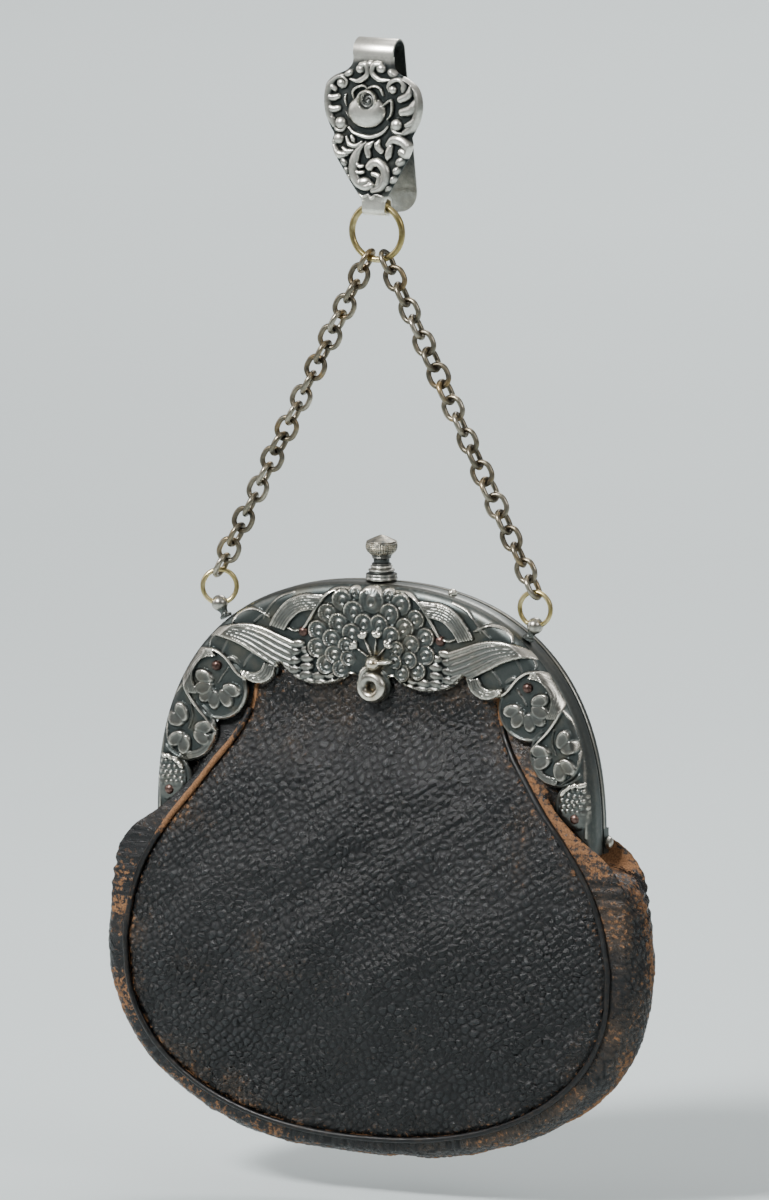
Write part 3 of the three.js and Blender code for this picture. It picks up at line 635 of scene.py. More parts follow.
BANDS = [
    # threads, rise, first edge, last edge
    (6, 0.8, [(13.2, 57.4), (18.6, 57.3), (23.0, 55.3), (26.0, 52.0), (27.6, 49.2)],
     [(15.9, 53.6), (19.4, 52.6), (21.9, 50.4), (23.4, 48.2)]),
    (5, 1.0, [(21.4, 45.6), (25.0, 46.9), (28.6, 48.2), (33.0, 48.9), (38.0, 48.2), (42.6, 46.6)],
     [(22.4, 38.2), (27.0, 40.1), (31.8, 42.6), (36.2, 44.7), (41.9, 45.9), (46.4, 45.0)]),
    (5, 0.8, [(42.4, 40.4), (45.6, 39.7), (48.0, 37.2), (48.6, 34.4), (47.4, 30.9)],
     [(43.6, 41.8), (47.6, 41.2), (50.6, 38.8), (51.7, 35.6), (50.0, 31.0)]),
    (3, 0.5, [(41.9, 21.2), (43.0, 17.8), (46.0, 15.4), (49.6, 14.4)],
     [(44.4, 20.6), (45.6, 18.4), (47.6, 16.8), (50.4, 16.2)]),
    (5, 0.85, [(26.0, 38.6), (27.0, 35.7), (30.2, 34.2), (34.6, 35.0)],
     [(29.2, 39.4), (30.2, 37.7), (32.2, 36.9), (35.4, 37.4)]),
]
CLOVER = [
    # x, z, length, degrees, rise
    (42.2, 33.6, 4.9, 2, 0.95), (41.5, 33.2, 4.8, -142, 0.95), (42.3, 32.9, 4.6, -62, 0.85),
    (50.2, 22.6, 4.9, 44, 0.95), (49.3, 21.8, 4.9, 190, 0.95), (50.2, 21.5, 4.9, -58, 0.95),
]
LOBES = [
    # x, z, radius of the plate's round edges
    (31.0, 39.6, 5.6), (42.0, 32.4, 7.9), (50.3, 21.6, 7.8), (55.0, 9.4, 5.7),
]
CREST = [(-4.2, 45.0), (-2.0, 47.4), (1.4, 47.8), (4.0, 45.6)]
print("lines:", len(LINES), "bands:", len(BANDS), "clover leaves:", len(CLOVER))

# %% Raise the sides and the bird
ARCH = {"half": 59.6, "high": 61.0, "power": 2.4, "leg": 2.6}
PLATE_FRONT, PLATE_BACK = -4.8, -3.6
ROLL = 3.0
MARGIN = 0.6
STEP = 0.2


def raise_sides(sheet):
    for x, z, radius in LOBES[1:3]:
        where, dx, dz = sheet.window(x, z, radius)
        d = np.hypot(dx, dz)
        sheet.raise_to(where, 0.35 * dome(d - radius + 0.5, 0.45) * (d < radius) * (dx + dz < 2))
    for threads, rise, first, last in BANDS:
        band(sheet, first, last, threads, rise)
    for width, rise, taper, points in LINES:
        ridge(sheet, points, width, rise, taper)
    for x, z, length, degrees, rise in CLOVER:
        clover_leaf(sheet, x, z, 1.16 * length, degrees, rise)
    berry(sheet)
    for x, z in SCALES:
        size = 1.0 if x > 12 else 0.85
        boss(sheet, x, z, 2.0 * size, 1.12 * size, 0.8, -0.12, 0.3, 3)
    for x, z, radius in EYES:
        feather_eye(sheet, x, z, 1.13 * radius)


def raise_bird(sheet):
    calm = np.hypot((sheet.X - 0.3) / 4.2, (sheet.Z - 44.4) / 4.4) < 1
    sheet.H[calm] = np.minimum(0.4 * sheet.H[calm], 0.3)
    for x, z in CREST:
        ridge(sheet, [(HEAD[0], 42.0), ((x + HEAD[0]) / 2, (z + 42) / 2), (x, z)], 0.6, 0.8, (1, 0.8), 0.1)
        lean = math.atan2(z - HEAD[1], x - HEAD[0])
        for spread in (-0.75, 0, 0.75):
            turn = lean + spread
            boss(sheet, x + 0.9 * math.cos(turn), z + 0.9 * math.sin(turn), 1.15, 0.66, 1.0, turn, 0.2)
    boss(sheet, 0.6, 36.0, 4.4, 4.2, 0.9)
    where, dx, dz = sheet.window(0.2, 35.6, 4.2)
    from_ring = np.hypot(dx, dz) - 2.5
    sheet.H[where] = np.where(from_ring < 0, 0.1, sheet.H[where])
    sheet.raise_to(where, np.where(np.abs(from_ring) < 1.6, 0.3 + 1.9 * dome(from_ring, 1.6), 0))
    ridge(sheet, [(-0.2, 40.6), (-1.9, 39.0), (-2.3, 36.6)], 2.3, 2.0, (0.9, 1), 0.2)
    boss(sheet, *HEAD, 2.15, 1.95, 2.8, 0, 0.2)
    ridge(sheet, [(HEAD[0] + 1.0, 41.5), (3.6, 41.8), (6.2, 42.0)], 1.7, 2.0, (1, 0.15), 0.1)


# %% Raise the frame's relief
relief = Sheet((-60.4, -3.2), (60.4, 61.8), STEP)
raise_sides(relief)
relief.H = np.maximum(relief.H, relief.H[:, ::-1])
raise_bird(relief)
print("relief", relief.H.shape, "highest", round(relief.H.max(), 2), "mm")

# %% [markdown]
# ## Front of the frame
# The plate is thin and its margin rolls back to the rim, so light slides round the edge. The relief sits on
# that rolled surface. The rim is a separate run of the same section along the arch, and two ears carry the
# hinge.

# %% Outline of the front plate
FOOT = 3.4


def arch_inset(x, z, half, high, power):
    """Distance inside an arch, zero on its edge."""
    ax, az = np.abs(x) / half, np.clip(z, 0, None) / high
    s = np.maximum((ax**power + az**power) ** (1 / power), 1e-6)
    slope = np.hypot((ax / s) ** (power - 1) / half, (az / s) ** (power - 1) / high)
    return (1 - s) / np.maximum(slope, 1e-6)


X, Z = np.abs(relief.X), relief.Z
outer = np.where(Z < 0, ARCH["half"] - X, arch_inset(X, Z, ARCH["half"], ARCH["high"], ARCH["power"]))
outer = np.minimum(outer, Z + ARCH["leg"])
inner = np.where(Z < FOOT, X - 54.5 - 0.8 * (FOOT - Z), -arch_inset(X, Z - FOOT, 54.5, 39.6, 2.2))
for x, z, radius in LOBES:
    inner = np.maximum(inner, radius - np.hypot(X - x, Z - z))
wing = 8 * (1 - np.hypot((X - 14.8) / 10.6, (Z - 42.4) / 7.4))
breast = 4.6 - np.hypot(relief.X - 0.2, Z - 36.0)
bridge = np.minimum(9 - X, np.minimum(Z - 38, 47 - Z))
inner = np.maximum(np.maximum(inner, wing), np.maximum(breast, bridge))
inside = np.minimum(outer - MARGIN, inner)
print("front plate fills", round((inside > 0).mean() * 100), "% of its sheet")

# %% Sections along the arch
def arch_points(inset, steps):
    """The arch in from its outer edge, with both legs, from right to left."""
    t = np.linspace(0, np.pi, steps + 1)
    power = 2 / ARCH["power"]
    x = (ARCH["half"] - inset) * np.sign(np.cos(t)) * np.abs(np.cos(t)) ** power
    z = (ARCH["high"] - inset) * np.sin(t) ** power
    x = np.concatenate([x[:1], x, x[-1:]])
    z = np.concatenate([[-ARCH["leg"]], z, [-ARCH["leg"]]])
    return x, z


def roll_back(inset):
    return ROLL - np.sqrt(np.clip(ROLL**2 - np.clip(ROLL - inset, 0, None) ** 2, 0, None))


def swept(rows, steps=220):
    """A closed section of (inset, y) rows run along the arch, with its ends closed."""
    lines = []
    for inset, y in rows:
        x, z = arch_points(inset, steps)
        lines.append(np.stack([x, np.full(len(x), y), z], -1))
    points = np.array(lines).transpose(1, 0, 2)
    stations, n = points.shape[:2]
    ends = [list(range(n)), [(stations - 1) * n + k for k in range(n)][::-1]]
    return points.reshape(-1, 3), grid_faces(stations, n, wrap=True, flip=True) + ends


def block(low, high):
    """A small rectangular lug between two corners."""
    points = [(x, y, z) for x in (low[0], high[0]) for y in (low[1], high[1]) for z in (low[2], high[2])]
    return points, [(0, 1, 3, 2), (4, 6, 7, 5), (0, 4, 5, 1), (2, 3, 7, 6), (0, 2, 6, 4), (1, 5, 7, 3)]


# %% Front plate and rim
hollow = relief.H - blurred(relief.H, round(1.1 / STEP))
on_edge = 0.30 * bell(inner - 0.25, 0.35) + 0.22 * bell(outer - 1.3, 0.5)
rubbed = np.clip(0.28 + 0.66 * hollow + 0.24 * np.minimum(relief.H, 1) + on_edge, 0, 1)
gilt = bell(np.hypot(relief.X - 1.2, Z - 41.4), 2.2) + 0.8 * bell(np.hypot(relief.X - 1.0, Z - 33.8), 2.2)
fade = np.clip((outer - MARGIN) / 2.0, 0, 1) * np.clip(inner / 0.7, 0, 1) ** 0.5
surface = PLATE_FRONT + roll_back(outer) + 0.35 * bell(inner, 0.35) - relief.H * fade
plate = relief_mesh(relief, inside, surface, PLATE_BACK, {"rubbed": rubbed, "gilt": gilt})

rim_rows = [(inset, PLATE_FRONT + roll_back(inset)) for inset in np.linspace(MARGIN, 0, 8)]
rim_rows += [(0.0, 0.2), (0.0, 0.75), (0.12, 1.1), (0.4, 1.3), (1.3, 1.3), (1.3, PLATE_BACK - 0.02)]
rim_rubbed = [0.36] * 8 + [0.16, 0.2, 0.85, 0.4, 0.2, 0.2]
rim = swept(rim_rows)
ears = [block((side * 56.5, -1.4, -2.6), (side * 57.9, 4.7, 2.6)) for side in (1, -1)]
points, faces = merged([plate[:2], rim, *ears])
# Besides the wear of each row, the rim is painted brighter towards the top of the arch: a painted highlight
# where light falls from above.
rim_wear_and_top_light = np.tile(rim_rubbed, len(rim[0]) // len(rim_rows)) + 0.15 * np.clip(rim[0][:, 2] / 61, 0, 1) ** 3
rubbed = np.concatenate([plate[2]["rubbed"], rim_wear_and_top_light, np.full(16, 0.35)])
gilt = np.concatenate([plate[2]["gilt"], np.zeros(len(rim_wear_and_top_light) + 16)])
put_piece("frame_front_relief", points, faces, FRAME_SILVER, "frame_front",
          {"rubbed": rubbed, "gilt": gilt})

# %% [markdown]
# ## Back of the frame
# The back half is plain: a smooth plate of the same arch with a rolled edge. It is a section drawn between
# two arches, the outer edge and the inner one, so it widens at the top as the real plate does.

# %% Back plate
BACK_INNER = {"half": 53.6, "high": 35.6, "power": 2.3}


def back_plate(steps=160):
    t = np.linspace(0, np.pi, steps + 1)
    edge, wall = (np.stack(arch_points(inset, steps), -1)[1:-1] for inset in (0.0, 1.3))
    power = 2 / BACK_INNER["power"]
    ix = BACK_INNER["half"] * np.sign(np.cos(t)) * np.abs(np.cos(t)) ** power
    opening = np.stack([ix, FOOT + BACK_INNER["high"] * np.sin(t) ** power], -1)
    inward = unit(opening - edge)
    rows = [(edge + 0.25 * inward, 1.7), (edge, 1.95), (edge, 2.6)]
    for turn in np.linspace(0, np.pi / 2, 7):
        rows.append((edge + 1.8 * (1 - math.cos(turn)) * inward, 2.9 + 1.8 * math.sin(turn)))
    for k in (0.25, 0.5, 0.75, 0.97):
        rows.append((edge + k * (opening - edge), 4.75 + 0.12 * math.sin(math.pi * k)))
    rows += [(opening, 4.55), (opening, 3.6), (wall, 3.6), (wall, 1.7)]
    points = np.array([np.insert(line, 1, y, axis=1) for line, y in rows]).transpose(1, 0, 2)
    stations, n = points.shape[:2]
    ends = [list(range(n))[::-1], [(stations - 1) * n + k for k in range(n)]]
    return points.reshape(-1, 3), grid_faces(stations, n, wrap=True) + ends, stations


points, faces, stations = back_plate()
worn_rows = np.full(len(points) // stations, 0.2)
worn_rows[1] = 0.8
legs = [block((side * 58.3, 1.7, -2.6), (side * 59.6, 4.4, 3.6)) for side in (1, -1)]
rubbed = np.concatenate([np.tile(worn_rows, stations), np.full(16, 0.2)])
points, faces = merged([(points, faces), *legs])
put_piece("frame_back_plate", points, faces, FRAME_SILVER, "frame_back",
          {"rubbed": rubbed, "gilt": 0})

# %% [markdown]
# ## Rivets, pins and clasp
# These are turned parts, so each is a profile spun about an axis. The knob's grip is a diamond knurl. It is
# cut into the radius itself, because at this size a bump alone would leave a smooth outline.

# %% Rivets and hinge pins
RIVETS = [
    # name, x, z
    ("frame_rivet_top", 18.6, 48.0), ("frame_rivet_side", 42.2, 38.0), ("frame_rivet_foot", 55.0, 6.6),
]
RIVET_HEAD = [(0, -0.5), (1.3, -0.5), (1.3, 0.0), (1.2, 0.35), (0.95, 0.65), (0.55, 0.86),
              (0.2, 0.93), (0, 0.94)]
for name, x, z in RIVETS:
    for suffix, side in (("right", 1), ("left", -1)):
        points, faces = turned(RIVET_HEAD, 28)
        points = turn_about(points, "X", math.pi / 2) + [side * x, PLATE_FRONT - 0.3, z]
        put_piece(f"{name}_{suffix}_head", points, faces, COPPER, f"{name}_{suffix}")

PIN = [(0, 55.2), (1.3, 55.2), (1.4, 55.4), (1.4, 56.0), (1.2, 56.1), (0.7, 56.15), (0.7, 59.95),
       (1.5, 59.95),
       (1.55, 60.2), (1.25, 60.8), (0.7, 61.05), (0, 61.1)]
for suffix, side in (("right", 1), ("left", -1)):
    points, faces = turned(PIN, 24)
    points = turn_about(points, "Y", side * math.pi / 2) + [0, 3.25, 0]
    put_piece(f"hinge_pin_{suffix}_turned", points, faces, FRAME_SILVER, f"hinge_pin_{suffix}",
              {"rubbed": 0.75, "gilt": 0})

# %% Catch rivet and collar
CATCH_X = 20
CATCH = [(0, -0.4), (1.1, -0.4), (1.1, 0.1), (0.95, 0.45), (0.6, 0.7), (0, 0.8)]
top_edge = ARCH["high"] * (1 - (CATCH_X / ARCH["half"]) ** ARCH["power"]) ** (1 / ARCH["power"])
points, faces = turned(CATCH, 24)
points = turn_about(points, "Y", 0.2) + [CATCH_X, -1.0, top_edge + 0.5]
put_piece("catch_rivet_head", points, faces, FRAME_SILVER, "catch_rivet",
          {"rubbed": 0.9, "gilt": 0})

COLLAR = [
    # radius, height over the frame
    (2.25, 0.25), (3.6, 0.25), (3.84, 0.4), (3.88, 0.75), (3.74, 1.05), (3.78, 1.35), (3.8, 1.6),
    (3.55, 1.88),
    (3.05, 1.98), (2.95, 2.15), (3.12, 2.35), (3.24, 2.6), (3.15, 2.85), (2.75, 3.0), (2.5, 3.1), (2.55, 3.3),
    (2.7, 3.5), (2.66, 3.75), (2.35, 3.9), (2.3, 4.05), (2.42, 4.2), (2.25, 4.35),
]
CLASP = np.array([0, 0.4, ARCH["high"]])


def fluted(height, angle):
    return 0.07 * np.cos(11 * angle) * (height < 1.9)


points, faces = turned(smooth_line(COLLAR, 3).tolist() + [COLLAR[0]], 96, fluted)
reach = np.hypot(points[:, 0], points[:, 1])
ring_top = np.interp(points[:, 2], [0.2, 1.9, 2.0, 2.9, 3.0, 4.4], [3.75, 3.75, 3.1, 3.1, 2.55, 2.35])
rubbed = np.clip(0.46 + 1.7 * (reach - ring_top), 0.05, 0.95)
put_piece("knob_collar_steps", points + CLASP, faces, CLIP_SILVER, "knob_collar",
          {"rubbed": rubbed, "gilt": 0})

# %% Knob
STEM = [
    # radius, height over the frame
    (0, 1.6), (1.95, 1.6), (1.95, 5.2), (2.05, 5.45), (2.3, 5.6), (2.42, 5.8), (2.3, 5.98), (2.5, 6.2),
    (2.72, 6.5),
]
GRIP = [(2.8, 6.6), (3.25, 7.0), (3.62, 7.5), (3.82, 8.0), (3.88, 8.5), (3.86, 8.9), (3.76, 9.25)]
CAP = [
    # radius, height over the frame
    (3.9, 9.3), (3.88, 9.42), (3.55, 9.46), (3.52, 9.54), (3.72, 9.66), (3.68, 9.8), (3.0, 10.12),
    (2.0, 10.6),
    (1.0, 11.02), (0.5, 11.23), (0, 11.3),
]


def knurl(height, angle):
    crossing = np.sin(19 * angle + 6.5 * height) * np.sin(19 * angle - 6.5 * height)
    return 0.10 * crossing * np.clip((height - 6.7) / 0.3, 0, 1) * (height < 9.27)


points, faces = turned(STEM + smooth_line(GRIP, 7).tolist() + CAP, 176, knurl)
height, reach = points[:, 2], np.hypot(points[:, 0], points[:, 1])
on_grip = (height > 6.55) & (height < 9.27)
plain = np.interp(height, [row[1] for row in GRIP], [row[0] for row in GRIP])
rubbed = np.where(on_grip, 0.32 + 3.0 * (reach - plain), np.where(height < 5.5, 0.2, 0.42))
rubbed = np.where((height > 9.28) & (height < 9.44), 0.95, rubbed)
gilt = np.where(on_grip, 0.7, np.where(height > 9.28, 0.5, 0))
put_piece("clasp_knob_knurled", points + CLASP, faces, CLIP_SILVER, "clasp_knob",
          {"rubbed": np.clip(rubbed, 0, 1), "gilt": gilt}, body="knob")

# %% [markdown]
# ## Rings, lugs and chains
# A chain is one link made many times. Each link is a tube on an oval, and each is turned a quarter round
# from the last, with a small waver, because real links never lie quite square.

# %% Rings and lugs
HANG = -2.1
BELT_RING = {"radius": 6.75, "wire": 0.8, "height": 147.1}
LUG = {"x": 42.8, "z": 53.0, "lean": 0.5, "stem": 4.2}
LUG_RING = {"radius": 4.15, "wire": 0.60}
LUG_ROWS = [
    # radius, distance along the stem
    (0, 0.3), (1.45, 0.3), (1.55, 0.6), (1.5, 0.95), (1.1, 1.2), (0.95, 1.5), (1.0, 2.0), (1.15, 2.4),
    (1.3, 2.6),
    (1.75, 3.1), (2.0, 3.7), (2.05, 4.2), (1.98, 4.7), (1.75, 5.25), (1.3, 5.75), (0.7, 6.12), (0, 6.25),
]


def ring(radius, wire, turn=0.0):
    a = np.linspace(0, 2 * np.pi, 96, endpoint=False)
    line = np.stack([radius * np.cos(a), 0 * a, radius * np.sin(a)], -1)
    points, faces = tube(line, wire * (1 + 0.04 * np.sin(3 * a)), 20, closed=True)
    return turn_about(points, "Z", turn), faces


points, faces = ring(BELT_RING["radius"], BELT_RING["wire"])
put_piece("belt_ring_wire", points + [0, HANG, BELT_RING["height"]], faces, BRASS, "belt_ring")

for suffix, side, turn in (("right", 1, 0.0), ("left", -1, 0.45)):
    points, faces = turned(LUG_ROWS, 40)
    foot = [side * (LUG["x"] - LUG["stem"] * math.sin(LUG["lean"])), HANG,
            LUG["z"] - LUG["stem"] * math.cos(LUG["lean"])]
    points = turn_about(points, "Y", side * LUG["lean"]) + foot
    rubbed = np.repeat([0.72 if row[1] > 2.6 else 0.38 for row in LUG_ROWS], 40)
    put_piece(f"chain_lug_{suffix}_ball", points, faces, FRAME_SILVER, f"chain_lug_{suffix}",
              {"rubbed": rubbed, "gilt": 0})
    points, faces = ring(LUG_RING["radius"], LUG_RING["wire"], turn)
    centre = [side * LUG["x"], HANG, LUG["z"] + LUG_RING["radius"]]
    put_piece(f"lug_ring_{suffix}_wire", points + centre, faces, BRASS, f"lug_ring_{suffix}")

# %% Chains
LINK = {"count": 21, "wire": 0.675, "half_width": 2.38, "play": 0.07}
CHAIN_LEAN = 0.37


def oval(half_length):
    """Two half circles joined by straight runs, as a closed line."""
    a = np.linspace(0, 2 * np.pi, 44, endpoint=False)
    stretch = (half_length - LINK["half_width"]) * np.tanh(5 * np.sin(a))
    return np.stack([LINK["half_width"] * np.cos(a), LINK["half_width"] * np.sin(a) + stretch, 0 * a], -1)


for suffix, side in (("right", 1), ("left", -1)):
    ring_foot = BELT_RING["height"] - BELT_RING["radius"] * math.cos(CHAIN_LEAN)
    start = np.array([side * BELT_RING["radius"] * math.sin(CHAIN_LEAN), HANG, ring_foot])
    end = np.array([side * LUG["x"], HANG, LUG["z"] + 2 * LUG_RING["radius"]])
    along = unit(end - start)
    across = np.array([0.0, 1.0, 0.0])
    over = np.cross(along, across)
    pitch = (np.linalg.norm(end - start) + 2.1 - LINK["play"]) / LINK["count"]
    half_length = (pitch - LINK["play"]) / 2 + LINK["wire"]
    first = (pitch - LINK["play"]) / 2 - 1.1
    links, rubbed = [], []
    for k in range(LINK["count"]):
        waver = 0.16 * math.sin(2.3 * k + side) if 0 < k < LINK["count"] - 1 else 0
        turn = k * math.pi / 2 + waver
        wide = across * math.cos(turn) + over * math.sin(turn)
        axes = np.stack([wide, along, np.cross(wide, along)])
        points, faces = tube(oval(half_length), LINK["wire"], 12, closed=True, up=(0, 0, 1))
        rubbed.append(0.26 + 0.13 * np.abs(points[:, 0]) + 0.10 * math.sin(5.1 * k))
        links.append((points @ axes + start + along * (first + k * pitch), faces))
    points, faces = merged(links)
    put_piece(f"chain_{suffix}_links", points, faces, CHAIN_SILVER, f"chain_{suffix}",
              {"rubbed": np.concatenate(rubbed), "gilt": 0.2})

# %% [markdown]
# ## Belt clip
# The clip is one strip of sheet: a stamped plate in front, a bend over the belt, a springy tongue behind
# and a tab folded round the ring. The plate uses the same sheet of heights as the frame, with a rose and
# scrolls. The strip is a flat section swept along its side profile.

# %% Strips bent from sheet
CLIP = {"sheet": 0.8, "bend": 2.7, "half": 5.45, "back": 9.8, "end": -43.2, "knee": -37.2, "tab": 3.05}
PLATE_TOP, PLATE_END = -3.3, -39.2


def bent_strip(profile, half_widths):
    """A strip along a profile in Y and Z with rounded long edges."""
    line = np.asarray(profile, float)
    along = unit(np.gradient(line, axis=0))
    normal = np.stack([along[:, 1], -along[:, 0]], -1)
    t = CLIP["sheet"] / 2
    quarter = [(1, 0.55 * t), (0.99, 0.85 * t), (0.96, t)]
    section = quarter + [(-w, d) for w, d in quarter[::-1]]
    section += [(-w, -d) for w, d in quarter] + [(w, -d) for w, d in quarter[::-1]]
    points = []
    for (y, z), (ny, nz), half in zip(line, normal, half_widths):
        points += [(w * half, y + d * ny, z + d * nz) for w, d in section]
    n, m = len(line), len(section)
    ends = [list(range(m))[::-1], [(n - 1) * m + k for k in range(m)]]
    return np.array(points), grid_faces(n, m, wrap=True) + ends


middle = CLIP["bend"] + CLIP["sheet"] / 2
strip_line = [(-middle, PLATE_TOP - 0.01), (-middle, -3.0)]
for a in np.linspace(0, math.pi, 33):
    strip_line.append((-middle * math.cos(a), -CLIP["bend"] + middle * math.sin(a)))
for k in np.linspace(0, 1, 40)[1:]:
    depth = middle + k * (CLIP["back"] - middle)
    strip_line.append((depth, -CLIP["bend"] + k * (CLIP["knee"] + CLIP["bend"])))
for k in np.linspace(0, 1, 34)[1:]:
    strip_line.append((CLIP["back"] + 1.4 * k**1.5, CLIP["knee"] + k * (CLIP["end"] - CLIP["knee"])))
to_end = np.array([(z - CLIP["end"]) / CLIP["half"] if y > 0 else 1 for y, z in strip_line])
half_widths = CLIP["half"] * np.sqrt(np.clip(1 - (1 - np.clip(to_end, 0, 1)) ** 2, 0.0009, 1))
strip = bent_strip(strip_line, half_widths)

tab_y = HANG + BAG[1]
tab_z = BELT_RING["height"] + BELT_RING["radius"] + BAG[2] - 0.8
tab_line = [(-3.1, PLATE_END + 0.1), (-3.1, PLATE_END - 0.4), (tab_y - 1.95, tab_z + 0.4)]
for a in np.linspace(0.2, math.pi - 0.2, 9):
    tab_line.append((tab_y - 1.9 * math.cos(a), tab_z - 1.5 * math.sin(a)))
tab_line += [(tab_y + 1.92, tab_z + 0.6), (tab_y + 1.5, -38.9), (tab_y + 0.4, -38.3), (-2.4, -37.9)]
tab_line = smooth_line(tab_line, 5)
tab = bent_strip(tab_line, np.full(len(tab_line), CLIP["tab"]))
print("stations: strip", len(strip_line), "tab", len(tab_line))

# %% Where the scrolls lie
CLIP_EDGE = [
    # half width left, half width right, z
    (5.45, 5.45, -3.0), (5.7, 5.6, -5.4), (7.4, 6.6, -7.2), (10.4, 9.6, -8.6), (12.6, 12.3, -10.8),
    (13.2, 13.3, -14.6), (12.8, 12.7, -18.4), (11.6, 11.2, -21.4), (10.7, 10.4, -23.0), (11.2, 10.7, -25.0),
    (10.4, 9.5, -28.0), (8.6, 7.6, -31.0), (6.4, 5.7, -34.4), (4.4, 4.0, -37.2), (3.1, 3.05, -39.2),
]
SCROLLS = [
    # width, rise, taper, points
    (1.3, 1.1, (0.5, 0.9), [(-5.8, -9.2), (-3.6, -9.5), (-1.3, -7.9), (-1.6, -5.6), (-3.0, -5.6)]),
    (1.3, 1.1, (0.5, 0.9), [(4.8, -8.9), (2.2, -8.9), (0.1, -7.4), (0.6, -5.4), (2.2, -5.2)]),
    (2.3, 1.2, (0.4, 0.6), [(-7.8, -8.4), (-10.4, -9.2), (-12.0, -11.6), (-12.4, -14.6), (-11.7, -17.9),
                            (-10.2, -20.6)]),
    (0.7, 0.9, (0.7, 0.6), [(-9.6, -9.2), (-7.8, -8.8), (-6.8, -9.8), (-7.2, -11.0), (-8.2, -11.5)]),
    (1.4, 1.1, (0.5, 0.9), [(-11.3, -10.9), (-10.0, -11.8)]),
    (1.6, 1.1, (0.6, 0.8), [(-12.3, -13.2), (-10.9, -14.0), (-9.2, -13.6)]),
    (1.7, 1.1, (0.6, 0.8), [(-12.1, -15.9), (-10.7, -16.8), (-9.1, -16.5)]),
    (1.3, 1.0, (0.6, 0.8), [(-11.6, -18.5), (-10.4, -19.1)]),
    (0.8, 0.9, (0.7, 0.6), [(-10.2, -20.1), (-9.6, -21.7), (-8.0, -21.9), (-6.9, -20.7)]),
    (1.1, 1.0, (0.6, 0.8), [(4.7, -11.6), (4.4, -10.4), (5.5, -9.1), (7.3, -8.7), (8.5, -9.8), (8.4, -11.4)]),
    (2.4, 1.2, (0.5, 0.6), [(8.6, -8.4), (10.8, -9.3), (12.4, -11.6), (12.8, -14.3), (12.3, -17.3),
                            (11.0, -20.0),
                            (8.8, -21.6)]),
    (1.8, 1.2, (0.5, 0.9), [(10.4, -10.3), (9.9, -12.3), (7.7, -13.5)]),
    (2.3, 1.3, (0.5, 0.8), [(12.0, -13.3), (10.8, -15.7), (8.2, -16.6)]),
    (1.7, 1.2, (0.5, 0.7), [(12.3, -17.0), (11.3, -18.8), (9.4, -19.8)]),
    (0.9, 0.9, (0.7, 0.6), [(5.2, -20.1), (5.9, -21.5), (8.0, -21.9), (10.3, -21.3)]),
    (1.05, 1.0, (0.5, 0.5), [(-6.3, -21.1), (-4.7, -22.4), (-1.1, -23.2), (1.5, -22.6), (3.1, -21.7),
                             (4.3, -20.3)]),
    (1.9, 1.2, (0.7, 0.5), [(-10.3, -25.9), (-9.2, -27.7), (-6.7, -27.8)]),
    (1.4, 1.1, (0.6, 0.6), [(-7.8, -26.2), (-6.7, -27.0), (-5.0, -26.7)]),
    (1.2, 1.1, (0.5, 0.5), [(-6.9, -23.5), (-6.1, -25.1), (-4.3, -25.5), (-2.7, -24.4)]),
    (1.0, 1.1, (0.8, 0.5), [(-5.4, -23.2), (-4.7, -24.6)]),
    (2.2, 1.4, (0.3, 0.8), [(-1.6, -24.5), (-3.8, -26.8), (-4.9, -29.7), (-4.9, -32.3), (-3.8, -34.4),
                            (-1.8, -35.4),
                            (-0.2, -35.0)]),
    (1.0, 1.2, (0.6, 0.8), [(-4.2, -29.4), (-3.4, -30.4), (-2.4, -30.3)]),
    (1.1, 1.2, (0.6, 0.8), [(-4.5, -31.3), (-3.6, -32.0), (-2.3, -31.8)]),
    (1.6, 1.2, (0.4, 0.9), [(0.4, -24.2), (-1.2, -25.8), (-0.9, -27.7)]),
    (1.5, 1.2, (0.4, 0.9), [(2.0, -23.8), (1.5, -25.3), (2.6, -26.5)]),
    (2.3, 1.4, (0.5, 0.9), [(4.3, -24.8), (5.8, -23.5), (8.0, -23.7), (9.8, -25.3), (9.3, -26.8),
                            (8.2, -26.4)]),
    (1.7, 1.2, (0.8, 0.2), [(5.1, -25.2), (4.6, -26.7), (4.1, -28.8)]),
    (2.2, 1.4, (0.9, 0.5), [(-0.6, -30.4), (0.3, -29.5), (1.8, -29.3), (3.4, -30.8), (3.6, -33.1),
                            (2.2, -35.4),
                            (0.1, -36.3)]),
    (1.5, 1.3, (0.8, 0.4), [(0.4, -32.1), (1.9, -32.6), (2.0, -34.0), (0.8, -35.6)]),
    (0.6, 0.5, (0.8, 0.8), [(-4.0, -37.3), (-2.6, -37.9), (-1.2, -37.4), (-0.4, -38.3), (0.8, -37.3),
                            (2.6, -37.6)]),
]
print("scrolls:", len(SCROLLS))

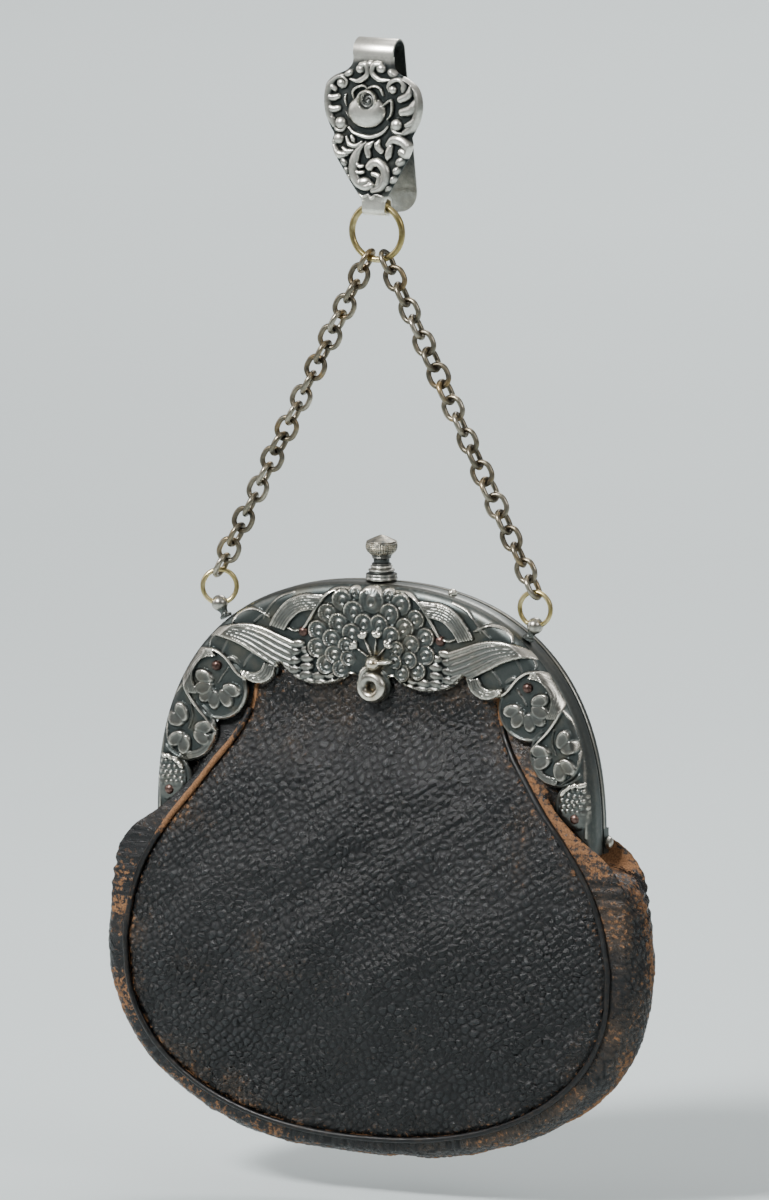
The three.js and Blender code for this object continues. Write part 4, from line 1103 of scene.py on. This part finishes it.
# %% Where the bosses and petals lie
BOSSES = [
    # x, z, rx, rz, rise, turn
    (-3.1, -6.6, 1.2, 1.1, 1.2, 0), (2.4, -6.2, 1.25, 1.1, 1.2, 0), (-0.5, -5.3, 0.85, 0.85, 0.9, 0),
    (-6.4, -7.8, 1.3, 0.85, 1.0, 0.5), (5.4, -7.2, 1.3, 0.95, 1.0, -0.5), (-8.3, -10.3, 1.1, 1.1, 1.3, 0),
    (-8.5, -20.1, 1.4, 1.4, 1.4, 0), (5.6, -11.2, 1.0, 1.0, 1.2, 0), (6.6, -19.8, 1.45, 1.45, 1.4, 0),
    (-9.1, -24.0, 1.35, 1.3, 1.2, 0), (-10.2, -24.8, 0.9, 0.9, 1.0, 0), (-2.5, -34.5, 2.2, 1.4, 1.4, 0.2),
    (7.5, -28.8, 1.35, 1.0, 1.0, 0.7), (6.4, -31.1, 1.15, 0.85, 0.9, 0.8), (5.5, -33.4, 1.1, 0.8, 0.9, 0.8),
    (4.2, -35.6, 0.9, 0.6, 0.8, 0.8), (-7.6, -29.7, 1.15, 0.85, 0.9, -0.8),
    (-7.0, -31.6, 0.85, 0.75, 0.8, -0.8),
    (-6.3, -33.2, 0.75, 0.65, 0.8, -0.8), (8.6, -10.6, 0.8, 1.2, 1.0, -0.3),
]
PETALS = [
    # width, rise, taper, points
    (0.85, 1.2, (0.6, 0.6), [(-4.9, -13.8), (-5.1, -12.3), (-4.1, -11.2), (-2.2, -10.6), (-1.1, -11.3)]),
    (0.85, 1.2, (0.6, 0.6), [(-1.4, -11.4), (0.6, -10.6), (2.2, -11.0), (3.1, -12.7)]),
    (0.75, 1.5, (0.5, 0.6), [(1.5, -16.3), (3.3, -15.1), (5.3, -13.8), (5.6, -15.4), (5.3, -17.2),
                             (4.3, -18.6)]),
    (0.65, 0.9, (0.5, 0.6), [(-6.9, -12.9), (-7.3, -14.2), (-6.9, -15.7)]),
    (0.5, 0.5, (0.5, 0.5), [(-7.2, -17.2), (-5.9, -19.2)]),
]
print("bosses:", len(BOSSES), "petals:", len(PETALS))

# %% Raise the scrolls and the rose
rose = Sheet((-13.8, -40.0), (13.8, -2.4), 0.14)
for width, rise, taper, points in SCROLLS:
    ridge(rose, points, 1.24 * width, rise, taper, 0.05)
for x, z, rx, rz, rise, turn in BOSSES:
    boss(rose, x, z, 1.14 * rx, 1.14 * rz, rise, turn)
boss(rose, -1.4, -16.9, 5.2, 4.2, 2.2, 0.08)
for width, rise, taper, points in PETALS:
    ridge(rose, points, width, rise, taper)

bud, dx, dz = rose.window(-1.06, -14.2, 2.8)
distance, angle = np.hypot(dx, dz), np.arctan2(dz, dx)
whorl = 0.16 * np.cos(2 * np.pi * distance / 1.1 + angle) * np.clip(distance / 0.5, 0, 1)
cup = 0.45 + 0.9 * (distance / 2.4) ** 2 + whorl
rose.H[bud] = np.where(distance < 2.1, cup, rose.H[bud])
rose.raise_to(bud, 2.1 * dome(distance - 2.35, 0.42))
print("rose", rose.H.shape, "highest", round(rose.H.max(), 2), "mm")

# %% Clip plate
CLIP_FRONT = -CLIP["bend"] - CLIP["sheet"]
halves = []
for column in (0, 1):
    line = smooth_line([(row[column], row[2]) for row in CLIP_EDGE], 8)[::-1]
    halves.append(np.interp(rose.Z, line[:, 1], line[:, 0]))
half = np.where(rose.X < 0, *halves)
sides = (half - np.abs(rose.X)) / np.hypot(1, np.gradient(half, rose.step, axis=0))
inside = np.minimum(sides, np.minimum(rose.Z - PLATE_END, PLATE_TOP - rose.Z))
fade = 0.35 + 0.65 * np.clip(sides / 0.6, 0, 1)
surface = CLIP_FRONT + 0.5 * np.clip(1 - sides / 0.9, 0, 1) ** 2 - rose.H * fade
hollow = rose.H - blurred(rose.H, round(0.9 / rose.step))
plain_ends = np.clip((rose.Z + 5.4) / 1.4, 0, 1) + np.clip((-37.4 - rose.Z) / 0.6, 0, 1)
rubbed = np.clip(0.28 + 0.75 * hollow + 0.28 * rose.H + 0.62 * plain_ends, 0, 1)
plate = relief_mesh(rose, inside, surface, -CLIP["bend"], {"rubbed": rubbed})
points, faces = merged([plate[:2], strip, tab])
strip_z = np.array(strip_line)[:, 1]
inner_side = np.interp(strip_z, [-43, -36, -28, -15], [0.62, 0.55, 0.28, 0.06])
strip_rubbed = np.column_stack([inner_side] * 6 + [np.full(len(strip_z), 0.92)] * 6).ravel()
rubbed = np.concatenate([plate[2]["rubbed"], strip_rubbed, np.full(len(tab[0]), 0.9)])
put_piece("belt_clip_plate", points, faces, CLIP_SILVER, "belt_clip", {"rubbed": rubbed, "gilt": 0},
          body="clip", place=CLIP_PLACE)

# %% [markdown]
# ## Black pebbled leather
# The hide is black with a grain of raised pebbles. Where it has been rubbed, on folds and along seams, the
# black is gone and tan shows. The pebbles are part of the mesh, and the finish reads their height at each
# point, so that wear sits on their tops. In patches the tops are also painted a dusty grey: partly dust,
# partly a painted sheen, with painted shade left in the black valleys. A fine bump adds the pores between
# them.

# %% Finish: leather
INK = (0.0016, 0.0020, 0.0025)
# Grey for the pebble tops: partly dust, partly a painted sheen.
DUST_AND_SHEEN_INK = (0.0150, 0.0170, 0.0185)
BROWN = (0.046, 0.031, 0.020)
TAN_DARK = (0.13, 0.058, 0.022)
TAN_LIGHT = (0.30, 0.150, 0.066)


def leather_finish(name, pores, gloss):
    material, tree, shader = new_finish(name, Roughness=gloss, Specular_IOR_Level=0.40)
    grain = attribute(tree, "grain")
    fine = noise(tree, 2400, 4, 0.6)
    flecks = noise(tree, 950, 6, 0.72)
    patches = noise(tree, 75, 4, 0.6)
    # Pebble tops are painted greyer than the valleys in patches: partly dust, partly a painted sheen on the
    # tops and painted shade in the valleys.
    top = calc(tree, "MULTIPLY_ADD", grain, 0.8, calc(tree, "MULTIPLY_ADD", patches, 1.2, -0.80))
    ink_shade_and_sheen = mix_colour(tree, ramp(tree, top, [(0.25, 0.0), (0.8, 1.0)]), INK, DUST_AND_SHEEN_INK)
    rub = calc(tree, "MULTIPLY_ADD", flecks, 1.3, calc(tree, "MULTIPLY", grain, 0.15))
    browned = calc(tree, "ADD", rub, attribute(tree, "faded"))
    brown_share = ramp(tree, calc(tree, "MULTIPLY", browned, 0.5), [(0.42, 0.0), (0.60, 1.0)])
    dye_shade_and_sheen = mix_colour(tree, brown_share, ink_shade_and_sheen, BROWN)
    rubbed_off = calc(tree, "ADD", rub, attribute(tree, "worn"))
    bare = ramp(tree, calc(tree, "MULTIPLY", rubbed_off, 0.5), [(0.52, 0.0), (0.57, 1.0)])
    tan = mix_colour(tree, ramp(tree, fine, [(0.35, 0.0), (0.65, 1.0)]), TAN_DARK, TAN_LIGHT)
    tree.links.new(mix_colour(tree, bare, dye_shade_and_sheen, tan), shader.inputs["Base Color"])
    dry = calc(tree, "MULTIPLY_ADD", bare, 0.6, patches)
    dull = calc(tree, "SUBTRACT", dry, calc(tree, "MULTIPLY", grain, 0.5))
    tree.links.new(ramp(tree, dull, [(0.18, gloss - 0.17), (0.62, 0.78)]), shader.inputs["Roughness"])
    press(tree, shader, calc(tree, "MULTIPLY_ADD", flecks, 1.4, fine), pores, 0.8)
    return material


PANEL_LEATHER = leather_finish("pebbled_leather", 0.22, 0.36)
WELT_LEATHER = leather_finish("piping_leather", 0.06, 0.46)
print("leather finishes:", PANEL_LEATHER.name, WELT_LEATHER.name)

# %% [markdown]
# ## Shape of the pouch
# The pouch is two domed panels sewn to a gusset strip that runs round the sides and the bottom. Its section
# is given by a short table of heights. A smooth curve through each column gives the value at any height, so
# all the leather pieces follow the same seam.

# %% Seam of the pouch
POUCH = np.array([
    # z, half width, half depth at the seam, crown of the panel
    (42, 32.6, 2.75, 0), (34, 33.0, 2.75, 0), (28, 34.1, 2.8, 0), (21, 37.5, 4.4, 0.9), (15, 42.0, 6.2, 1.8),
    (8, 47.2, 7.6, 2.6), (0, 53.7, 8.4, 3.4), (-8, 59.0, 8.6, 4.0), (-14, 61.9, 8.6, 4.5),
    (-22, 64.2, 8.6, 5.0),
    (-34, 65.3, 8.4, 5.2), (-55, 59.0, 7.6, 4.2), (-70, 38.0, 6.6, 2.4), (-76, 0, 6.0, 1.6),
], float)
BELLY = {"z": -34.0, "half": 65.3, "depth": 42.0, "power": 2.2}


def look_up(table, key, column):
    """A smooth curve through one column of a table whose first column falls."""
    x, y = table[::-1, 0], table[::-1, column]
    slope = np.gradient(y, x)
    slope[1:-1] = (y[2:] - y[:-2]) / (x[2:] - x[:-2])
    key = np.clip(key, x[0], x[-1])
    k = np.clip(np.searchsorted(x, key) - 1, 0, len(x) - 2)
    span = x[k + 1] - x[k]
    t = (key - x[k]) / span
    bend = span * t * (1 - t) * ((1 - t) * slope[k] - t * slope[k + 1])
    return y[k] + t * t * (3 - 2 * t) * (y[k + 1] - y[k]) + bend


def seam_line(spacing=0.55):
    """The seam from the right top, down and round the bottom, to the left top, at an even spacing."""
    z = np.linspace(42, BELLY["z"], 300)
    side = np.stack([look_up(POUCH, z, 1), z], -1)
    t = np.linspace(0, np.pi / 2, 300)[1:]
    p = 2 / BELLY["power"]
    x = BELLY["half"] * np.clip(np.cos(t), 0, 1) ** p
    low = np.stack([x, BELLY["z"] - BELLY["depth"] * np.sin(t) ** p], -1)
    half = np.vstack([side, low])
    line = np.vstack([half, (half * [-1, 1])[-2::-1]])
    run = np.concatenate([[0], np.cumsum(np.hypot(*np.diff(line, axis=0).T))])
    even = np.linspace(0, run[-1], round(run[-1] / spacing))
    return np.stack([np.interp(even, run, line[:, k]) for k in (0, 1)], -1), even


seam, seam_run = seam_line()
way = unit(np.gradient(seam, axis=0))
outward = np.stack([-way[:, 1], way[:, 0]], -1)
print("seam", len(seam), "points", round(seam_run[-1]), "mm long")

# %% Soft unevenness
rng = np.random.default_rng(7)
LATTICE = rng.random((8, 128, 128))
print("lattice", LATTICE.shape)


def cloud(u, v, layer):
    """Smooth random values from 0 to 1 on a lattice of unit cells."""
    iu, iv = np.floor(u).astype(int), np.floor(v).astype(int)
    fu, fv = u - iu, v - iv
    fu, fv = fu * fu * (3 - 2 * fu), fv * fv * (3 - 2 * fv)
    total = 0
    for a, wu in ((0, 1 - fu), (1, fu)):
        for b, wv in ((0, 1 - fv), (1, fv)):
            total = total + wu * wv * LATTICE[layer, (iu + a) % 128, (iv + b) % 128]
    return total


# %% Pebbled grain
def pebbles(u, v):
    """Round cells with narrow valleys: 0 in a valley and 1 on top."""
    iu, iv = np.floor(u).astype(int), np.floor(v).astype(int)
    first, second, lift = np.full(u.shape, 9.0), np.full(u.shape, 9.0), np.zeros(u.shape)
    for a in (-1, 0, 1):
        for b in (-1, 0, 1):
            cu = iu + a + 0.12 + 0.76 * LATTICE[6, (iu + a) % 128, (iv + b) % 128]
            cv = iv + b + 0.12 + 0.76 * LATTICE[7, (iu + a) % 128, (iv + b) % 128]
            d = np.hypot(u - cu, v - cv)
            lift = np.where(d < first, LATTICE[5, (iu + a) % 128, (iv + b) % 128], lift)
            second = np.minimum(second, np.maximum(first, d))
            first = np.minimum(first, d)
    rise = np.clip((second - first) / 0.55, 0, 1)
    return rise * (2 - rise) * (0.6 + 0.4 * lift)


SLANT = math.radians(36)


def slanted(x, z):
    return x * math.cos(SLANT) + z * math.sin(SLANT), z * math.cos(SLANT) - x * math.sin(SLANT)


def grain_over(x, z, size):
    """Pebbles drawn out along a slant, with their rows wandering a little."""
    x = x + 2.2 * (cloud(x / 9 + 3, z / 9, 0) - 0.5)
    z = z + 2.2 * (cloud(x / 9, z / 9 + 7, 1) - 0.5)
    along, across = slanted(x, z)
    return pebbles(along / (1.2 * size) + 40, across / (0.9 * size) + 40)


def creased(x, z, layer):
    """Long soft creases that run from the lower left to the upper right."""
    along, across = slanted(x, z)
    fold = cloud(along / 13, across / 2.6, layer)
    return (1 - 2 * np.abs(fold - 0.5)) ** 3 * cloud(x / 17, z / 17, layer + 1)


# %% [markdown]
# ## Panels
# A panel is a sheet of heights too, cut to the seam. A plain dome looks like plastic, so four things shape
# it: slow swells where the lining pulls, long slanting creases, short puckers where the bottom seam gathers
# it, and the pebbles of the grain. A coarse inner layer gives the leather its thickness.

# %% Edge of a panel
PANEL_CENTRE = np.array([0.0, -18.0])
SEAM_TUCK = 0.5
TOP_EDGE = {"z": 42.6, "bow": 0.9}

half_top = seam[0, 0] - SEAM_TUCK
top_x = np.linspace(-half_top, half_top, 92)[1:-1]
top = np.stack([top_x, TOP_EDGE["z"] + TOP_EDGE["bow"] * (1 - (top_x / half_top) ** 2)], -1)
rim = np.vstack([seam - SEAM_TUCK * outward, top])
rim_run = np.concatenate([seam_run, np.zeros(len(top))])
print("panel edge", len(rim), "points")


def from_centre(x, z):
    """Share of the way from the centre to the rim, reach of the rim there, and run along the seam."""
    spoke = rim - PANEL_CENTRE
    angle = np.arctan2(spoke[:, 1], spoke[:, 0])
    order = np.argsort(angle)
    here = np.arctan2(z - PANEL_CENTRE[1], x - PANEL_CENTRE[0])
    reach = np.interp(here, angle[order], np.hypot(*spoke.T)[order], period=2 * np.pi)
    run = np.interp(here, angle[order], rim_run[order], period=2 * np.pi)
    return np.hypot(x - PANEL_CENTRE[0], z - PANEL_CENTRE[1]) / reach, reach, run


def panel_depth(z, s):
    return look_up(POUCH, z, 2) + look_up(POUCH, z, 3) * (1 - np.clip(s, 0, 1) ** 2)


# %% Wear of a panel
def panel_wear(x, z, near_seam):
    """Where the dye is gone and where it has only browned."""
    spots = cloud(x / 7, z / 7, 5) * cloud(x / 23 + 2, z / 23, 2)
    worn = 0.10 * bell(near_seam, 1.6) + 0.08 * bell(near_seam, 7)
    worn = worn + 0.12 * np.clip((z - 16) / 22, 0, 1) * bell(np.abs(x) - 30, 10)
    worn = worn + 0.22 * np.clip(spots - 0.30, 0, 1) + 0.04
    faded = 0.22 * np.clip((z - 8) / 26, 0, 1) + 0.20 * bell(near_seam, 7) + 0.5 * np.clip(spots - 0.25, 0, 1)
    return worn, faded - 0.12


# %% Shape of a panel
LEATHER = 1.2
PANEL_GRAIN = 1.85
FOLD = {"x": -14, "z": -26, "size": 30}


def panel(side, step, layer):
    hide = Sheet((-66, -77), (66, 44), step)
    x, z = hide.X, hide.Z
    s, reach, run = from_centre(x, z)
    from_seam = (1 - s) * reach
    near_seam = np.clip(from_seam, 0, None)
    free = np.clip((26 - z) / 16, 0, 1)
    ease = np.clip(near_seam / 6, 0, 1)
    swell = cloud(x / 34 + 9, z / 30 + 9, layer) - 0.5 + 0.8 * (cloud(x / 14, z / 12, layer + 1) - 0.5)
    gather = cloud(run / 2.9, near_seam / 8, layer + 2) - 0.5
    pucker = 1.1 * gather * bell(near_seam - 2.5, 6.0) * np.clip((-26 - z) / 20, 0, 1)
    grain = grain_over(x, z, PANEL_GRAIN)
    bulk = 0.40 + 0.36 * cloud(x / 16 + 5, z / 16, 4) + 0.08 * free
    depth = panel_depth(z, s) + 0.4 * ease - 0.7 * bell(near_seam, 0.9)
    phase = (slanted(x, z)[1] + 8.4) * 2 * np.pi / 22 + 3.5 * (cloud(x / 18, z / 18, layer + 1) - 0.5)
    folded = bell(np.hypot(x - FOLD["x"], z - FOLD["z"]), FOLD["size"])
    sag = -np.sin(phase) * (0.22 + 0.50 * folded)
    depth = depth + free * (ease * (swell + sag - 0.5 * creased(x + 60, z + 120, layer)) + pucker)
    depth = depth + bulk * (grain - 0.6) * np.clip(near_seam / 1.2, 0.3, 1)
    worn, faded = panel_wear(x, z, near_seam)
    values = {"worn": worn, "faded": faded, "grain": grain}
    points, faces, values = relief_mesh(hide, from_seam, -depth, LEATHER - depth, values, closed=False)
    shares = np.linspace(1, 0.02, 9)
    lining = (PANEL_CENTRE + shares[:, None, None] * (rim - PANEL_CENTRE)).reshape(-1, 2)
    inner_depth = panel_depth(lining[:, 1], np.repeat(shares, len(rim))) - 1.6
    lining = np.insert(lining, 1, -inner_depth, axis=1)
    points, faces = merged([(points, faces), (lining, grid_faces(9, len(rim), wrap=True))])
    values = {key: np.concatenate([v, np.zeros(len(lining))]) for key, v in values.items()}
    if side > 0:
        points = points * [1, -1, 1]
        faces = [face[::-1] for face in faces]
    return points, faces, values


# %% Both panels
for name, side, step, layer in (("front_panel", -1, 0.37, 0), ("back_panel", 1, 0.55, 2)):
    points, faces, values = panel(side, step, layer)
    put_piece(f"{name}_leather", points, faces, PANEL_LEATHER, name, values, sharp=75)

# %% [markdown]
# ## Gusset and welts
# The gusset bulges below and folds inward between the feet of the frame, like a bellows. Its lips stand up
# in front of the feet and behind them, and years of opening have worn them to bare tan. A welt, a thin roll
# of leather, is sewn into each seam to stiffen it.

# %% Shape of the gusset
GUSSET = np.array([
    # z, how far it stands out at the lip, half way round and in the middle, and where half way lies
    (36, 1.8, 4.0, 4.4, 0.60), (28, 2.4, 6.6, 7.2, 0.60), (21, 2.6, 7.0, 8.0, 0.60),
    (15, 2.5, 5.2, 7.8, 0.56),
    (8, 3.2, 2.4, 6.8, 0.58), (2, 5.2, 0.4, 1.6, 0.66), (-3.0, 8.6, -1.6, -2.8, 0.66),
    (-7.6, 8.8, 7.2, 7.2, 0.60),
    (-13, 7.0, 8.4, 9.2, 0.50), (-22, 5.2, 7.4, 8.2, 0.46), (-34, 4.3, 6.7, 7.6, 0.46),
    (-60, 3.5, 5.4, 6.2, 0.46),
    (-76, 2.9, 4.4, 5.0, 0.46),
], float)
ACROSS = 60

low_enough = seam[:, 1] < 36
rail, rail_run, rail_out = seam[low_enough], seam_run[low_enough], outward[low_enough]
rail_out = unit(np.stack([rail_out[:, 0], np.minimum(rail_out[:, 1], 0)], -1))
rail_z = rail[:, 1]
half_depth = look_up(POUCH, rail_z, 2) - 0.45
lip, half, mid, knee = (look_up(GUSSET, rail_z, k) for k in (1, 2, 3, 4))
u = np.linspace(-1, 1, ACROSS)
reach = np.empty((len(rail), ACROSS))
for k in range(len(rail)):
    knots = [(0, mid[k]), (knee[k], half[k]), (0.88, lip[k]), (1.0, 0.3)]
    curve = smooth_line([(-a, r) for a, r in knots[:0:-1]] + knots, 8)
    reach[k] = np.interp(u, curve[:, 0], curve[:, 1])
print("gusset", len(rail), "stations, reach", round(reach.min(), 1), "to", round(reach.max(), 1), "mm")

# %% Gusset
GUSSET_GRAIN = 1.5

run = rail_run[:, None] + 0 * u
below = np.clip((-6 - rail_z) / 8, 0, 1)[:, None]
body = np.clip((1 - np.abs(u)) / 0.3, 0, 1)
y = u * half_depth[:, None]
slack = 0.5 * (cloud(run / 3.6, u * 1.6 + 5, 4) - 0.5) + 0.8 * (cloud(run / 14, u * 1.2 + 9, 5) - 0.5)
ear_folds = np.sin(1.9 * run + 3.4 * u + 3 * cloud(run / 5, u * 2, 3)) * bell(rail_z + 12, 7)[:, None]
grain = grain_over(run, y, GUSSET_GRAIN)
reach = reach + below * body * (slack + 0.4 * ear_folds) + 0.40 * (grain - 0.5) * np.clip(body, 0.3, 1)

y = y + np.sign(u) * (0.30 * (grain - 0.5) + 0.25 * ear_folds) * bell(np.abs(u) - 0.86, 0.12)


def off_seam(distance, depth):
    """Points at a distance outside the seam and at a depth from the mid-plane."""
    x, z = (rail[:, k:k + 1] + distance * rail_out[:, k:k + 1] for k in (0, 1))
    return np.stack([x, depth, z], -1)


skin = off_seam(reach, y).reshape(-1, 3)
inner_skin = off_seam(reach - 1.0, 0.94 * y)[:, ::4]
columns = inner_skin.shape[1]
faces = grid_faces(len(rail), ACROSS) + grid_faces(len(rail), columns, start=len(skin), flip=True)
print("gusset points", len(skin), "outside", inner_skin.size // 3, "inside")

# %% Wear of the gusset
right_side = np.where(rail[:, :1] > 0, 1.0, 0.45)
lip_wear = 0.30 * right_side * bell(rail_z - 6, 14)[:, None] * bell(1 - np.abs(u), 0.30)
fold_wear = 0.50 * bell(rail_z + 1.5, 5.0)[:, None] * (np.abs(u) < 0.80)
spots = cloud(run / 6, u * 2.2, 2)
blotches = np.clip(2.6 * cloud(run / 13, u * 1.8 + 3, 1) - 0.7, 0, 1)
edge_at = -0.40 + 0.42 * np.tanh(rail[:, :1] / 25)
outer_edge = (0.06 + 0.22 * blotches) * bell(u - edge_at, 0.34) * below
rubbed_side = np.clip(rail[:, :1] / 50, -0.2, 1)
worn = 0.05 + 0.11 * rubbed_side + lip_wear + fold_wear + outer_edge + 0.36 * np.clip(spots - 0.58, 0, 1)
faded = 0.10 * bell(1 - np.abs(u), 0.30) + 0.4 * (spots - 0.4) + 0.15 * rubbed_side
suede = np.full(inner_skin.size // 3, 0.6)
values = {"worn": np.concatenate([worn.ravel(), suede]), "faded": np.concatenate([faded.ravel(), suede]),
          "grain": np.concatenate([grain.ravel(), suede])}
points = np.vstack([skin, inner_skin.reshape(-1, 3)])
put_piece("gusset_leather", points, faces, PANEL_LEATHER, "gusset", values, sharp=75)

# %% Welts
WELT_RADIUS = 0.74
welted = seam[:, 1] < 28
path, run = seam[welted], seam_run[welted]
for name, side in (("front_welt", -1), ("back_welt", 1)):
    line = np.stack([path[:, 0], side * look_up(POUCH, path[:, 1], 2), path[:, 1]], -1)
    lumps = 0.14 * (cloud(run / 4.5, 0 * run + 3, 4) - 0.5) + 0.10 * (cloud(run / 1.3, 0 * run + 8, 5) - 0.5)
    points, faces = tube(line, WELT_RADIUS * (1 + lumps), 14)
    bare = 0.7 * np.clip(cloud(run / 17, 0 * run + 1, 2) - 0.60, 0, 1) + 0.06
    bare = bare + 0.75 * bell(path[:, 1] - 8, 11) * (path[:, 0] < 0)
    values = {"worn": np.repeat(bare, 14), "faded": 0.1, "grain": 0.5}
    put_piece(f"{name}_piping", points, faces, WELT_LEATHER, name, values, sharp=75)

# %% [markdown]
# The finished bag must stay the size that was measured. Both boxes are written out, so they can be
# compared.

# %% Print both boxes
low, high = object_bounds()
solid_size, piece_size = ([round(v / MM, 1) for v in size] for size in (cad_high - cad_low, high - low))
print("solids", solid_size, "pieces", piece_size)
